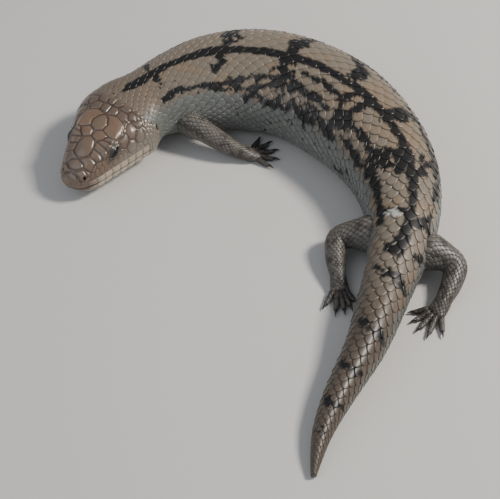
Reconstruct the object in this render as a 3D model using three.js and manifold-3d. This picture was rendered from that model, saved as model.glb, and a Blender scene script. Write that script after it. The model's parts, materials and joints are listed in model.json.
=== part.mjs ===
// A life-size blue-tongued skink lying in a basking curve, as a still museum model.
// Millimetres, +Z up. The belly, tail and soles rest on the floor at z = 0, and the
// origin is on the floor under the middle of the animal's bounding box.
import * as THREE from "three";
import { mergeVertices } from "three/addons/utils/BufferGeometryUtils.js";
import Module from "manifold-3d";

const wasm = await Module();
wasm.setup();

// Driving dimensions

const GAP = 0.3; // clearance between neighbouring pieces
const BODY_SIDES = 30; // facets round the trunk and tail
const HEAD_SIDES = 32; // facets round the head
const LIMB_SIDES = 12; // facets round a leg
const DIGIT_SIDES = 7; // facets round a toe or claw

// The animal from snout to tail tip. at: distance along the spine. heading: the way the spine
// runs there, in degrees from +X. half: half width. back and belly: heights over the floor.
// widest: the level of the greatest width. crown and keel: how square the upper and the lower
// half of the section are (2 is an ellipse).
const STATIONS = [
  { name: "snout", at: 0, heading: 60, half: 1.6, back: 11.2, belly: 8.2, widest: 9.8, crown: 2.0, keel: 2.0 },
  { name: "muzzle", at: 0.8, heading: 60, half: 4.4, back: 13.0, belly: 6.5, widest: 9.3, crown: 2.1, keel: 2.1 },
  { name: "lip", at: 2.2, heading: 60, half: 6.9, back: 15.0, belly: 5.0, widest: 8.7, crown: 2.3, keel: 2.3 },
  { name: "nostril", at: 4.5, heading: 60, half: 8.7, back: 16.9, belly: 4.0, widest: 8.4, crown: 2.4, keel: 2.4 },
  { name: "loreal", at: 10, heading: 60, half: 11.4, back: 20.2, belly: 3.2, widest: 8.8, crown: 2.5, keel: 2.5 },
  { name: "brow", at: 17, heading: 60, half: 13.9, back: 23.4, belly: 2.7, widest: 9.4, crown: 2.6, keel: 2.5 },
  { name: "eye", at: 24, heading: 60.2, half: 16.6, back: 25.8, belly: 2.4, widest: 10.2, crown: 2.6, keel: 2.5 },
  { name: "temple", at: 33, heading: 59.4, half: 19.9, back: 27.8, belly: 2.2, widest: 11.4, crown: 2.5, keel: 2.5 },
  { name: "jowl", at: 43, heading: 54.8, half: 22.8, back: 29.2, belly: 2.1, widest: 12.4, crown: 2.4, keel: 2.5 },
  { name: "ear", at: 51, heading: 44.6, half: 21.4, back: 30.2, belly: 2.2, widest: 13.0, crown: 2.3, keel: 2.4 },
  { name: "neck", at: 61, heading: 35.2, half: 18.4, back: 31.6, belly: 2.0, widest: 13.6, crown: 2.2, keel: 2.4 },
  { name: "shoulder", at: 78, heading: 25.9, half: 21.8, back: 35.0, belly: 0.8, widest: 14.0, crown: 2.1, keel: 2.5 },
  { name: "chest", at: 97, heading: 14.1, half: 25.2, back: 38.6, belly: -0.6, widest: 14.4, crown: 2.1, keel: 2.7 },
  { name: "waist", at: 128, heading: -13.2, half: 27.4, back: 40.6, belly: -0.6, widest: 15.0, crown: 2.1, keel: 2.8 },
  { name: "loin", at: 165, heading: -42.8, half: 27.4, back: 39.6, belly: -0.6, widest: 14.8, crown: 2.1, keel: 2.8 },
  { name: "flank", at: 200, heading: -62.4, half: 24, back: 36.0, belly: -0.6, widest: 14.0, crown: 2.1, keel: 2.7 },
  { name: "croup", at: 235, heading: -86.7, half: 18.9, back: 31.4, belly: -0.5, widest: 13.0, crown: 2.1, keel: 2.5 },
  { name: "hip", at: 262, heading: -102.3, half: 14.6, back: 28.2, belly: -0.4, widest: 12.2, crown: 2.1, keel: 2.4 },
  { name: "vent", at: 285, heading: -108.5, half: 11.7, back: 25.2, belly: -0.4, widest: 11.2, crown: 2.1, keel: 2.3 },
  { name: "tail_root", at: 310, heading: -109.2, half: 9.9, back: 22.0, belly: -0.4, widest: 10.0, crown: 2.1, keel: 2.3 },
  { name: "tail_third", at: 334, heading: -118, half: 7.7, back: 17.6, belly: -0.4, widest: 8.2, crown: 2.1, keel: 2.3 },
  { name: "tail_half", at: 358, heading: -114.4, half: 5.6, back: 12.6, belly: -0.3, widest: 6.0, crown: 2.1, keel: 2.3 },
  { name: "tail_thin", at: 378, heading: -102.5, half: 3.1, back: 7.6, belly: -0.3, widest: 3.7, crown: 2.0, keel: 2.2 },
  { name: "tail_end", at: 390, heading: -98.5, half: 1.1, back: 3.2, belly: -0.2, widest: 1.6, crown: 2.0, keel: 2.2 },
];

// Lengths of the trunk and tail, each its own piece, and the distance between rings in each
const LENGTHS = [
  { name: "head", from: 0, to: 56, step: 2.8, sides: HEAD_SIDES },
  { name: "neck", from: 56, to: 76, step: 5, sides: BODY_SIDES },
  { name: "torso_front", from: 76, to: 124, step: 7, sides: BODY_SIDES },
  { name: "torso_middle", from: 124, to: 178, step: 7, sides: BODY_SIDES },
  { name: "torso_rear", from: 178, to: 236, step: 7, sides: BODY_SIDES },
  { name: "pelvis", from: 236, to: 286, step: 7, sides: BODY_SIDES },
  { name: "tail_base", from: 286, to: 326, step: 7, sides: BODY_SIDES },
  { name: "tail_middle", from: 326, to: 362, step: 7, sides: BODY_SIDES },
  { name: "tail_tip", from: 362, to: 390, step: 5, sides: BODY_SIDES },
];

const SKIN_BROWN = 0x7d6a58;
const FLANK_GREY = 0x7c7a70;
const LEG_GREY = 0x5f564c;
const CLAW_BROWN = 0x2b211b;
const EYE_DARK = 0x33241a;

// Interpolation and the spine

// Monotone cubic through the rows of a table, so that a form never bulges between them.
function smooth(rows, x, key, s) {
  const last = rows.length - 1;
  if (s <= rows[0][x]) return rows[0][key];
  if (s >= rows[last][x]) return rows[last][key];
  let i = 0;
  while (rows[i + 1][x] < s) i++;
  const slope = (j) => (rows[j + 1][key] - rows[j][key]) / (rows[j + 1][x] - rows[j][x]);
  const tangent = (j) => {
    if (j === 0) return slope(0);
    if (j === last) return slope(last - 1);
    const before = slope(j - 1);
    const after = slope(j);
    return before * after <= 0 ? 0 : (2 * before * after) / (before + after);
  };
  const width = rows[i + 1][x] - rows[i][x];
  const u = (s - rows[i][x]) / width;
  const v = 1 - u;
  return (
    rows[i][key] * (1 + 2 * u) * v * v +
    rows[i + 1][key] * u * u * (3 - 2 * u) +
    tangent(i) * width * u * v * v -
    tangent(i + 1) * width * u * u * v
  );
}

const along = (key, s) => smooth(STATIONS, "at", key, s);

const SPINE_STEP = 0.5;
const SPINE_LENGTH = STATIONS[STATIONS.length - 1].at;
const spine = [new THREE.Vector2(0, 0)];
for (let s = 0; s < SPINE_LENGTH; s += SPINE_STEP) {
  const heading = THREE.MathUtils.degToRad(along("heading", s + SPINE_STEP / 2));
  const step = new THREE.Vector2(Math.cos(heading), Math.sin(heading));
  spine.push(spine[spine.length - 1].clone().addScaledVector(step, SPINE_STEP));
}

// The spine's plan position, its direction of travel tailwards, and the animal's left.
function spineAt(s) {
  const x = THREE.MathUtils.clamp(s / SPINE_STEP, 0, spine.length - 1.001);
  const i = Math.floor(x);
  const place = spine[i].clone().lerp(spine[i + 1], x - i);
  const heading = THREE.MathUtils.degToRad(along("heading", s));
  const travel = new THREE.Vector2(Math.cos(heading), Math.sin(heading));
  return { place, travel, left: new THREE.Vector2(travel.y, -travel.x) };
}

const power = (x, n) => Math.sign(x) * Math.abs(x) ** (2 / n);

// A point of the skin: s along the spine, angle round it (0 at the left, 90 degrees on the back).
function skin(s, angle, grow = 0) {
  const c = Math.cos(angle);
  const q = Math.sin(angle);
  const upper = q >= 0;
  const n = along(upper ? "crown" : "keel", s);
  const widest = along("widest", s);
  const rise = upper ? along("back", s) - widest : widest - along("belly", s);
  const { place, left } = spineAt(s);
  const side = (along("half", s) + grow) * power(c, n);
  const up = widest + (rise + grow) * power(q, n);
  return new THREE.Vector3(place.x + left.x * side, place.y + left.y * side, grow > 0 ? up : Math.max(up, 0));
}

// Closed meshes and solids

// A closed mesh from rings of points, with a fan over each end.
function loft(rings) {
  const sides = rings[0].length;
  const positions = [];
  const index = [];
  for (const ring of rings) for (const p of ring) positions.push(p.x, p.y, p.z);
  for (let r = 0; r + 1 < rings.length; r++) {
    for (let k = 0; k < sides; k++) {
      const a = r * sides + k;
      const b = r * sides + ((k + 1) % sides);
      index.push(a, b, b + sides, a, b + sides, a + sides);
    }
  }
  const closeEnd = (first, flip) => {
    const centre = new THREE.Vector3();
    const ring = rings[first / sides];
    for (const p of ring) centre.addScaledVector(p, 1 / sides);
    const hub = positions.length / 3;
    positions.push(centre.x, centre.y, centre.z);
    for (let k = 0; k < sides; k++) {
      const a = first + k;
      const b = first + ((k + 1) % sides);
      if (flip) index.push(hub, b, a);
      else index.push(hub, a, b);
    }
  };
  closeEnd(0, true);
  closeEnd((rings.length - 1) * sides, false);
  const geometry = new THREE.BufferGeometry();
  geometry.setAttribute("position", new THREE.Float32BufferAttribute(positions, 3));
  geometry.setIndex(index);
  return geometry;
}

// A manifold-3d solid of a closed geometry, turned right side out if its faces point inwards.
function solid(geometry) {
  const bare = geometry.clone();
  for (const name of ["normal", "uv"]) bare.deleteAttribute(name);
  const merged = mergeVertices(bare, 1e-4);
  const make = (triVerts) =>
    new wasm.Manifold(
      new wasm.Mesh({ numProp: 3, vertProperties: new Float32Array(merged.attributes.position.array), triVerts }),
    );
  const triVerts = new Uint32Array(merged.index.array);
  const made = make(triVerts);
  if (made.volume() > 0) return made;
  for (let i = 0; i < triVerts.length; i += 3) [triVerts[i + 1], triVerts[i + 2]] = [triVerts[i + 2], triVerts[i + 1]];
  return make(triVerts);
}

const joined = (solids) => solids.reduce((sum, next) => sum.add(next));
const largest = (made) => made.decompose().sort((a, b) => b.volume() - a.volume())[0];
const aboveFloor = (made) => made.trimByPlane([0, 0, 1], 0);

function geometryOf(made) {
  const { vertProperties, triVerts, numProp, numVert } = made.getMesh();
  const positions = new Float32Array(numVert * 3);
  for (let i = 0; i < numVert; i++) positions.set(vertProperties.subarray(i * numProp, i * numProp + 3), i * 3);
  const geometry = new THREE.BufferGeometry();
  geometry.setAttribute("position", new THREE.BufferAttribute(positions, 3));
  geometry.setIndex(new THREE.BufferAttribute(new Uint32Array(triVerts), 1));
  return geometry;
}

// The trunk and tail

function trunkRings(from, to, step, sides, grow = 0) {
  const count = Math.max(2, Math.round((to - from) / step));
  const rings = [];
  for (let r = 0; r <= count; r++) {
    const s = from + ((to - from) * r) / count;
    const ring = [];
    for (let k = 0; k < sides; k++) ring.push(skin(s, (2 * Math.PI * k) / sides, grow));
    rings.push(ring);
  }
  return rings;
}

const trunk = {};
for (const { name, from, to, step, sides } of LENGTHS) {
  const start = from === 0 ? 0 : from + GAP / 2;
  const end = to === SPINE_LENGTH ? to : to - GAP / 2;
  trunk[name] = solid(loft(trunkRings(start, end, step, sides)));
}
// What the legs are cut by, so that each stands a gap off the skin that it grows from
const clearance = solid(loft(trunkRings(40, 330, 3, 2 * BODY_SIDES, GAP)));

// The head's openings

const MOUTH = { corner: 37, level: 8.8, rise: 2.6, depth: 0.75 };
const NOSTRIL = { at: 3.4, angle: 44, radius: 1.0 };
const EYE = { at: 20.5, angle: 40, radius: 3.9, sink: 2.9 };
const EAR = { at: 51.5, angle: 20, radius: 2.3, tall: 1.35 };

const degrees = THREE.MathUtils.degToRad;

// The outward direction of the skin at a point.
function outward(s, angle) {
  const ahead = skin(s + 0.5, angle).sub(skin(s - 0.5, angle));
  const round = skin(s, angle + 0.02).sub(skin(s, angle - 0.02));
  return ahead.cross(round).normalize();
}

function ball(centre, radius, sides = 16, stretch = 1) {
  const geometry = new THREE.SphereGeometry(radius, sides, Math.round(sides * 0.7));
  geometry.scale(1, 1, stretch);
  geometry.translate(centre.x, centre.y, centre.z);
  return solid(geometry);
}

// A tube of a diamond section along points, for the groove of the mouth and the lids.
function rope(points, radius, sides = 4) {
  const curve = new THREE.CatmullRomCurve3(points);
  const rings = points.map((p, i) => {
    const travel = curve.getTangent(i / (points.length - 1));
    const side = new THREE.Vector3().crossVectors(travel, new THREE.Vector3(0, 0, 1)).normalize();
    const up = new THREE.Vector3().crossVectors(side, travel);
    const size = Array.isArray(radius) ? radius[i] : radius;
    return Array.from({ length: sides }, (_, k) => {
      const turn = (2 * Math.PI * k) / sides;
      return p
        .clone()
        .addScaledVector(side, size * Math.cos(turn))
        .addScaledVector(up, size * Math.sin(turn));
    });
  });
  return solid(loft(rings));
}

// The angle at which the side of the head passes a level, on the left (+1) or right (-1).
function angleAtLevel(s, level, hand) {
  const widest = along("widest", s);
  const upper = level >= widest;
  const rise = upper ? along("back", s) - widest : widest - along("belly", s);
  const n = along(upper ? "crown" : "keel", s);
  const share = Math.min(Math.abs(level - widest) / rise, 1);
  const angle = Math.asin(share ** (n / 2)) * (upper ? 1 : -1);
  return hand > 0 ? angle : Math.PI - angle;
}

const mouthLevel = (s) => MOUTH.level + MOUTH.rise * (s / MOUTH.corner) ** 2;

function mouthLine() {
  const points = [];
  const steps = 12;
  const lipAt = (s, hand) => skin(s, angleAtLevel(s, mouthLevel(s), hand));
  for (let i = steps; i >= 1; i--) points.push(lipAt(MOUTH.corner * (i / steps) ** 1.5, 1));
  const front = lipAt(0, 1).lerp(lipAt(0, -1), 0.5);
  points.push(lipAt(0, 1), front, lipAt(0, -1));
  for (let i = 1; i <= steps; i++) points.push(lipAt(MOUTH.corner * (i / steps) ** 1.5, -1));
  return points;
}

const handAngle = (angle, hand) => (hand > 0 ? degrees(angle) : Math.PI - degrees(angle));

function eyeCentre(hand) {
  const angle = handAngle(EYE.angle, hand);
  return skin(EYE.at, angle).addScaledVector(outward(EYE.at, angle), -EYE.sink);
}

// Upper and lower lid: two arcs that lie over the eyeball and run out into the skin.
function lids(hand) {
  const centre = eyeCentre(hand);
  const { travel } = spineAt(EYE.at);
  const back = new THREE.Vector3(travel.x, travel.y, 0);
  const out = outward(EYE.at, handAngle(EYE.angle, hand));
  const up = new THREE.Vector3().crossVectors(back, out).multiplyScalar(hand > 0 ? 1 : -1).normalize();
  if (up.z < 0) up.negate();
  const arc = (lift, thick) => {
    const points = [];
    const sizes = [];
    for (let i = 0; i <= 8; i++) {
      const turn = Math.PI * (i / 8);
      const x = -Math.cos(turn);
      const bulge = Math.sin(turn);
      const reach = Math.sqrt(Math.max(0, 1 - 0.8 * x * x - (lift * bulge) ** 2));
      points.push(
        centre
          .clone()
          .addScaledVector(back, x * (EYE.radius + 0.6))
          .addScaledVector(up, lift * bulge * EYE.radius)
          .addScaledVector(out, reach * (EYE.radius + 0.7)),
      );
      sizes.push(thick * (0.55 + 0.45 * bulge));
    }
    return rope(points, sizes, 6);
  };
  return joined([arc(0.62, 1.15), arc(-0.45, 0.95)]);
}

// Shields of the head's top, one side of each pair, as corners of distance from the snout and
// distance out from the midline, both in plan. A middle shield gives its left half and is
// mirrored about the midline.
const TOP_SHIELDS = [
  { name: "rostral", middle: true, corners: [[0.5, 0], [0.5, 2.6], [2.4, 3.1], [2.9, 0]] },
  { name: "nasal", corners: [[3.2, 0.3], [2.9, 3.4], [2.6, 5.6], [5.2, 7.4], [5.6, 4.6], [3.8, 1.4]] },
  { name: "frontonasal", middle: true, corners: [[4.1, 0], [6, 4.4], [7.4, 3.6], [8.4, 0]] },
  { name: "prefrontal", corners: [[8.9, 0.3], [7.9, 3.9], [6.4, 5.1], [7.2, 8.4], [11.2, 8.2], [11.7, 4.6], [10.3, 2.0]] },
  { name: "frontal", middle: true, corners: [[9.6, 0], [11, 2.3], [12.3, 4.8], [15.8, 5.5], [19.5, 4.4], [21.3, 0]] },
  { name: "supraocular_1", corners: [[12, 5.3], [11.5, 8.6], [13.7, 11.2], [15.3, 6.2]] },
  { name: "supraocular_2", corners: [[15.7, 6.1], [14.1, 11.7], [17.5, 13.4], [18.2, 5.8]] },
  { name: "supraocular_3", corners: [[18.6, 5.7], [17.9, 13.6], [21.1, 14.6], [21.1, 6.4]] },
  { name: "supraocular_4", corners: [[21.5, 6.9], [21.5, 14.8], [24.1, 14.6], [23.6, 8.4]] },
  { name: "frontoparietal", corners: [[21.6, 0.3], [19.8, 4.5], [21.1, 6.0], [23.4, 7.8], [25.4, 4.4], [24.9, 1.9]] },
  { name: "interparietal", middle: true, corners: [[24.3, 0], [25.8, 3.9], [28.6, 4.6], [32.7, 1.8], [33.2, 0]] },
  { name: "parietal", corners: [[25.9, 4.7], [23.9, 8.6], [24.6, 14.4], [28.3, 16.4], [33.2, 13.4], [35.4, 6.0], [33.7, 0.6], [32.9, 2.4], [28.9, 5.2]] },
  { name: "nuchal", corners: [[34.4, 0.3], [35.9, 6.2], [33.9, 13.2], [37.4, 14.2], [40, 8.4], [39.9, 0.3]] },
  { name: "nuchal_2", corners: [[40.4, 0.3], [40.6, 8.4], [38.4, 14.0], [42.8, 14.6], [46.0, 8.2], [45.6, 0.3]] },
];

// Shields of the head's side, as corners of distance from the snout and angle round the head.
const SIDE_SHIELDS = [
  { name: "loreal_1", corners: [[6.0, 22], [5.6, 42], [9.4, 42], [9.8, 22]] },
  { name: "loreal_2", corners: [[10.4, 22], [10.0, 42], [14.0, 40], [14.4, 24]] },
  { name: "temporal_1", corners: [[27.4, 26], [27.0, 44], [32.4, 46], [33.4, 28]] },
  { name: "temporal_2", corners: [[34.0, 28], [33.0, 46], [38.6, 50], [40.0, 30]] },
  { name: "temporal_3", corners: [[27.6, 12], [27.8, 24], [33.4, 26], [34.2, 13]] },
  { name: "temporal_4", corners: [[34.8, 13], [34.2, 26], [40.4, 28], [41.4, 14]] },
  { name: "temporal_5", corners: [[40.6, 31], [39.4, 49], [44.4, 52], [45.6, 34]] },
];
const LABIALS = { count: 6, from: 3.2, to: 36, gap: 0.35, upper: [0.9, 4.2], lower: [-0.9, -3.6] };
const PLATE = { proud: 0.5, sunk: 1.2, bevel: 0.55 };

// The angle round the section at which the skin stands a distance out from the midline.
function angleAcross(s, out) {
  const share = Math.min(Math.abs(out) / along("half", s), 0.98);
  const angle = Math.acos(share ** (along("crown", s) / 2));
  return out >= 0 ? angle : Math.PI - angle;
}

// A raised plate over the skin with its root sunk: corners are [distance, angle] pairs.
function plate(corners) {
  const middle = corners.reduce((sum, c) => [sum[0] + c[0] / corners.length, sum[1] + c[1] / corners.length], [0, 0]);
  const centre = skin(middle[0], middle[1]);
  const normal = outward(middle[0], middle[1]);
  const ring = (share, height) =>
    corners.map(([s, angle]) => {
      const p = skin(s, angle);
      return p.lerp(centre.clone().addScaledVector(normal, p.clone().sub(centre).dot(normal)), share).addScaledVector(normal, height);
    });
  const size = Math.max(...corners.map(([s, angle]) => skin(s, angle).distanceTo(centre)));
  const rings = [ring(0, -PLATE.sunk), ring(0, PLATE.proud * 0.35), ring(PLATE.bevel / size, PLATE.proud)];
  return solid(loft(rings));
}

const mirrored = (angle, hand) => (hand > 0 ? angle : Math.PI - angle);

function shields() {
  const plates = [];
  for (const { middle, corners } of TOP_SHIELDS) {
    const left = corners.map(([s, out]) => [s, angleAcross(s, out)]);
    if (middle) {
      const right = corners.filter(([, out]) => out > 0).reverse();
      plates.push(plate([...left, ...right.map(([s, out]) => [s, angleAcross(s, -out)])]));
    } else {
      for (const hand of [1, -1]) plates.push(plate(left.map(([s, angle]) => [s, mirrored(angle, hand)])));
    }
  }
  for (const { corners } of SIDE_SHIELDS) {
    for (const hand of [1, -1]) plates.push(plate(corners.map(([s, angle]) => [s, handAngle(angle, hand)])));
  }
  const { count, from, to, gap } = LABIALS;
  for (let i = 0; i < count; i++) {
    const ends = [i, i + 1].map((k) => from + ((to - from) * k) / count);
    for (const [near, far] of [LABIALS.upper, LABIALS.lower]) {
      for (const hand of [1, -1]) {
        const corner = (s, above) => [s, angleAtLevel(s, mouthLevel(s) + above, hand)];
        const [a, b] = [ends[0] + gap / 2, ends[1] - gap / 2];
        plates.push(plate([corner(a, near), corner(b, near), corner(b, far), corner(a, far)]));
      }
    }
  }
  return plates;
}

function buildHead() {
  let head = joined([trunk.head, ...shields()]);
  for (const hand of [1, -1]) {
    head = head.add(lids(hand));
    head = head.subtract(ball(eyeCentre(hand), EYE.radius + GAP, 18));
    const nostril = handAngle(NOSTRIL.angle, hand);
    head = head.subtract(ball(skin(NOSTRIL.at, nostril), NOSTRIL.radius, 8));
    const ear = handAngle(EAR.angle, hand);
    head = head.subtract(ball(skin(EAR.at, ear), EAR.radius, 12, EAR.tall));
  }
  head = head.subtract(rope(mouthLine(), MOUTH.depth));
  return largest(head.simplify(0.06));
}

// The legs

// A leg's joints are measured from the spine at its root: back towards the tail, out to the
// animal's left, and up from the floor. It runs from inside the body through its elbow or knee
// (the third joint) to its wrist or ankle (the fifth). radius is its thickness.
// spread: the directions of the five digits, in degrees from the way that the foot points.
const FINGERS = { length: [4.4, 6.2, 6.8, 6.2, 4.6], radius: 1.35 };
const TOES = { length: [4.6, 6.8, 8.4, 9.0, 6.2], radius: 1.4 };
const LEGS = [
  {
    name: "foreleg_left",
    root: 77,
    joints: [
      { back: -3, out: 11, up: 14, radius: 6.2 },
      { back: 2, out: 24, up: 12.5, radius: 5.4 },
      { back: 8.5, out: 33.5, up: 9.2, radius: 4.8 },
      { back: 13.5, out: 39.5, up: 6.6, radius: 4.2 },
      { back: 18.5, out: 43.5, up: 4.4, radius: 3.4 },
    ],
    palm: { length: 8, half: 4.1, tall: 2.1, turn: 24 },
    digits: { ...FINGERS, spread: [54, 27, 3, -20, -46] },
  },
  {
    name: "foreleg_right",
    root: 77,
    joints: [
      { back: -3, out: -11, up: 13.5, radius: 6.2 },
      { back: 3, out: -20.5, up: 12, radius: 5.4 },
      { back: 11, out: -27.5, up: 9, radius: 4.8 },
      { back: 20, out: -27, up: 6.4, radius: 4.2 },
      { back: 28, out: -25, up: 4.4, radius: 3.4 },
    ],
    palm: { length: 8, half: 4.1, tall: 2.1, turn: 10 },
    digits: { ...FINGERS, spread: [-34, -16, 0, 18, 40] },
  },
  {
    name: "hindleg_left",
    root: 261,
    joints: [
      { back: -2, out: 4, up: 12.5, radius: 7.6 },
      { back: -2.5, out: 16, up: 11.8, radius: 7.0 },
      { back: 0, out: 28.5, up: 8.8, radius: 5.5 },
      { back: 9, out: 29, up: 6.6, radius: 4.6 },
      { back: 19, out: 26, up: 4.4, radius: 3.5 },
    ],
    palm: { length: 9, half: 4.2, tall: 2.2, turn: 0 },
    digits: { ...TOES, spread: [30, 15, 2, -12, -34] },
  },
  {
    name: "hindleg_right",
    root: 261,
    joints: [
      { back: 3, out: -4, up: 12.5, radius: 7.6 },
      { back: 2.5, out: -16, up: 11.8, radius: 7.0 },
      { back: 5, out: -26.5, up: 8.8, radius: 5.6 },
      { back: 14, out: -27, up: 6.6, radius: 4.8 },
      { back: 23.5, out: -24.5, up: 4.4, radius: 3.7 },
    ],
    palm: { length: 9, half: 4.3, tall: 2.2, turn: -8 },
    digits: { ...TOES, spread: [-46, -24, -6, 12, 36] },
  },
];
const LEG_RING_STEP = 3.4;
const CLAW = { length: 3.4, root: 0.85, tip: 0.28, droop: 0.55 };

// A ring of points round a curve's point, wide and tall as given, upright in the vertical.
function ringAt(centre, travel, half, tall, sides) {
  const side = new THREE.Vector3().crossVectors(travel, new THREE.Vector3(0, 0, 1)).normalize();
  const up = new THREE.Vector3().crossVectors(side, travel);
  return Array.from({ length: sides }, (_, k) => {
    const turn = (2 * Math.PI * (k + 0.5)) / sides;
    return centre
      .clone()
      .addScaledVector(side, half * Math.cos(turn))
      .addScaledVector(up, tall * Math.sin(turn));
  });
}

// Where each joint lies along the curve, from the parameter that the curve gives its points.
function jointDistances(curve, count) {
  const lengths = curve.getLengths(40 * (count - 1));
  return Array.from({ length: count }, (_, i) => lengths[40 * i]);
}

// The leg's whole tube, from inside the body to the wrist or ankle.
function legTube(curve, joints) {
  const places = jointDistances(curve, joints.length);
  const radii = joints.map((joint, i) => ({ d: places[i], radius: joint.radius }));
  const total = curve.getLength();
  const count = Math.round(total / LEG_RING_STEP);
  const rings = [];
  for (let r = 0; r <= count; r++) {
    const d = (total * r) / count;
    const radius = smooth(radii, "d", "radius", d);
    rings.push(ringAt(curve.getPointAt(r / count), curve.getTangentAt(r / count), radius, radius, LIMB_SIDES));
  }
  return solid(loft(rings));
}

// The part of a solid that lies ahead of a plane through a point, by a distance.
const aheadOf = (made, point, way, distance) => made.trimByPlane([way.x, way.y, way.z], point.dot(way) + distance);

function buildLeg({ name, root, joints, palm, digits }) {
  const pieces = {};
  const { place, travel, left } = spineAt(root);
  const points = joints.map(
    ({ back, out, up }) =>
      new THREE.Vector3(place.x + travel.x * back + left.x * out, place.y + travel.y * back + left.y * out, up),
  );
  const curve = new THREE.CatmullRomCurve3(points, false, "catmullrom", 0.5);
  curve.arcLengthDivisions = 400;
  const tube = aboveFloor(legTube(curve, joints)).subtract(clearance);
  const bend = 2 / (joints.length - 1);
  const knee = curve.getPoint(bend);
  const through = curve.getTangent(bend);
  pieces[`${name}_upper`] = largest(aheadOf(tube, knee, through.clone().negate(), GAP / 2));
  pieces[`${name}_lower`] = largest(aheadOf(tube, knee, through, GAP / 2));

  // The sole lies flat, so the palm and the toes run level from the ankle.
  const ankle = curve.getPointAt(1);
  const arriving = curve.getTangentAt(1);
  const facing = new THREE.Vector3(arriving.x, arriving.y, 0).normalize();
  facing.applyAxisAngle(new THREE.Vector3(0, 0, 1), degrees(palm.turn));
  const start = ankle.clone().addScaledVector(arriving, GAP / 2);
  const last = joints[joints.length - 1].radius;
  const footRings = [];
  const steps = 4;
  for (let i = 0; i <= steps; i++) {
    const u = i / steps;
    const centre = start.clone().addScaledVector(arriving, palm.length * u * (1 - u));
    centre.addScaledVector(facing, palm.length * u * u);
    centre.z = THREE.MathUtils.lerp(start.z, palm.tall - 0.5, u ** 0.7);
    const travel = arriving.clone().lerp(facing, Math.min(1, 1.5 * u)).normalize();
    const half = THREE.MathUtils.lerp(last, palm.half, u);
    footRings.push(ringAt(centre, travel, half, THREE.MathUtils.lerp(last, palm.tall, u), LIMB_SIDES));
  }
  const footSolids = [solid(loft(footRings))];
  const heel = footRings[steps].reduce((sum, p) => sum.addScaledVector(p, 1 / LIMB_SIDES), new THREE.Vector3());
  const across = new THREE.Vector3().crossVectors(new THREE.Vector3(0, 0, 1), facing);
  digits.length.forEach((length, i) => {
    const turn = degrees(digits.spread[i]);
    const way = facing.clone().applyAxisAngle(new THREE.Vector3(0, 0, 1), turn);
    const root = heel
      .clone()
      .addScaledVector(facing, -3.2)
      .addScaledVector(across, palm.half * 0.72 * Math.sin(turn) * 1.15);
    root.z = digits.radius;
    const total = length + 4;
    const rings = [];
    for (let j = 0; j <= 4; j++) {
      const u = j / 4;
      const arch = 0.9 * Math.sin(Math.PI * Math.min(1, 0.25 + u));
      const centre = root.clone().addScaledVector(way, total * u);
      centre.z = digits.radius * (1 - 0.22 * u) - 0.15 + Math.max(0, arch);
      const radius = digits.radius * (1 - 0.22 * u);
      rings.push(ringAt(centre, way, radius, radius, DIGIT_SIDES));
    }
    footSolids.push(solid(loft(rings)));
    const tip = root.clone().addScaledVector(way, total + GAP);
    tip.z = digits.radius * 0.78 + 0.25;
    const clawRings = [0, 0.5, 1].map((u) => {
      const centre = tip.clone().addScaledVector(way, CLAW.length * u);
      centre.z -= CLAW.droop * u * u;
      const radius = THREE.MathUtils.lerp(CLAW.root, CLAW.tip, u);
      return ringAt(centre, way, radius * 0.8, radius, 6);
    });
    pieces[`${name}_claw_${i + 1}`] = solid(loft(clawRings));
  });
  pieces[`${name}_foot`] = largest(aboveFloor(joined(footSolids)).subtract(clearance));
  return pieces;
}

// The whole animal

const materials = {
  back: new THREE.MeshStandardMaterial({ color: SKIN_BROWN, roughness: 0.45, metalness: 0 }),
  flank: new THREE.MeshStandardMaterial({ color: FLANK_GREY, roughness: 0.45, metalness: 0 }),
  leg: new THREE.MeshStandardMaterial({ color: LEG_GREY, roughness: 0.5, metalness: 0 }),
  claw: new THREE.MeshStandardMaterial({ color: CLAW_BROWN, roughness: 0.35, metalness: 0 }),
  eye: new THREE.MeshStandardMaterial({ color: EYE_DARK, roughness: 0.1, metalness: 0 }),
};

const skink = new THREE.Group();

function place(name, made, material) {
  const mesh = new THREE.Mesh(geometryOf(made), material);
  mesh.name = name;
  skink.add(mesh);
}

place("head", buildHead(), materials.back);
for (const { name } of LENGTHS.slice(1)) place(name, trunk[name], materials.back);
place("eye_left", ball(eyeCentre(1), EYE.radius, 16), materials.eye);
place("eye_right", ball(eyeCentre(-1), EYE.radius, 16), materials.eye);
for (const leg of LEGS) {
  for (const [name, made] of Object.entries(buildLeg(leg))) {
    place(name, made, name.includes("claw") ? materials.claw : materials.leg);
  }
}

// The origin goes under the middle of the bounding box, on the floor.
const bounds = new THREE.Box3().setFromObject(skink);
const middle = bounds.getCenter(new THREE.Vector3());
skink.position.set(-middle.x, -middle.y, 0);

export default skink;
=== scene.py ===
# %% [markdown]
# # A blue-tongued skink
#
# The model is a stout lizard that lies in a curve on the floor. One skin covers it from the
# snout to the tip of the tail. Each scale of the back, the flanks, the legs and the toes is a
# small plate that lies over the next one behind it, as on the living animal. The head has large
# shields with fine seams between them.
#
# Such a body could be sculpted by hand, or shaped from a box with edit tools. Here its points
# are worked out from a few measures instead, because thousands of scales have to follow one
# curved body: when a measure changes, the skin and its scales move together.

import json
import math

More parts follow.
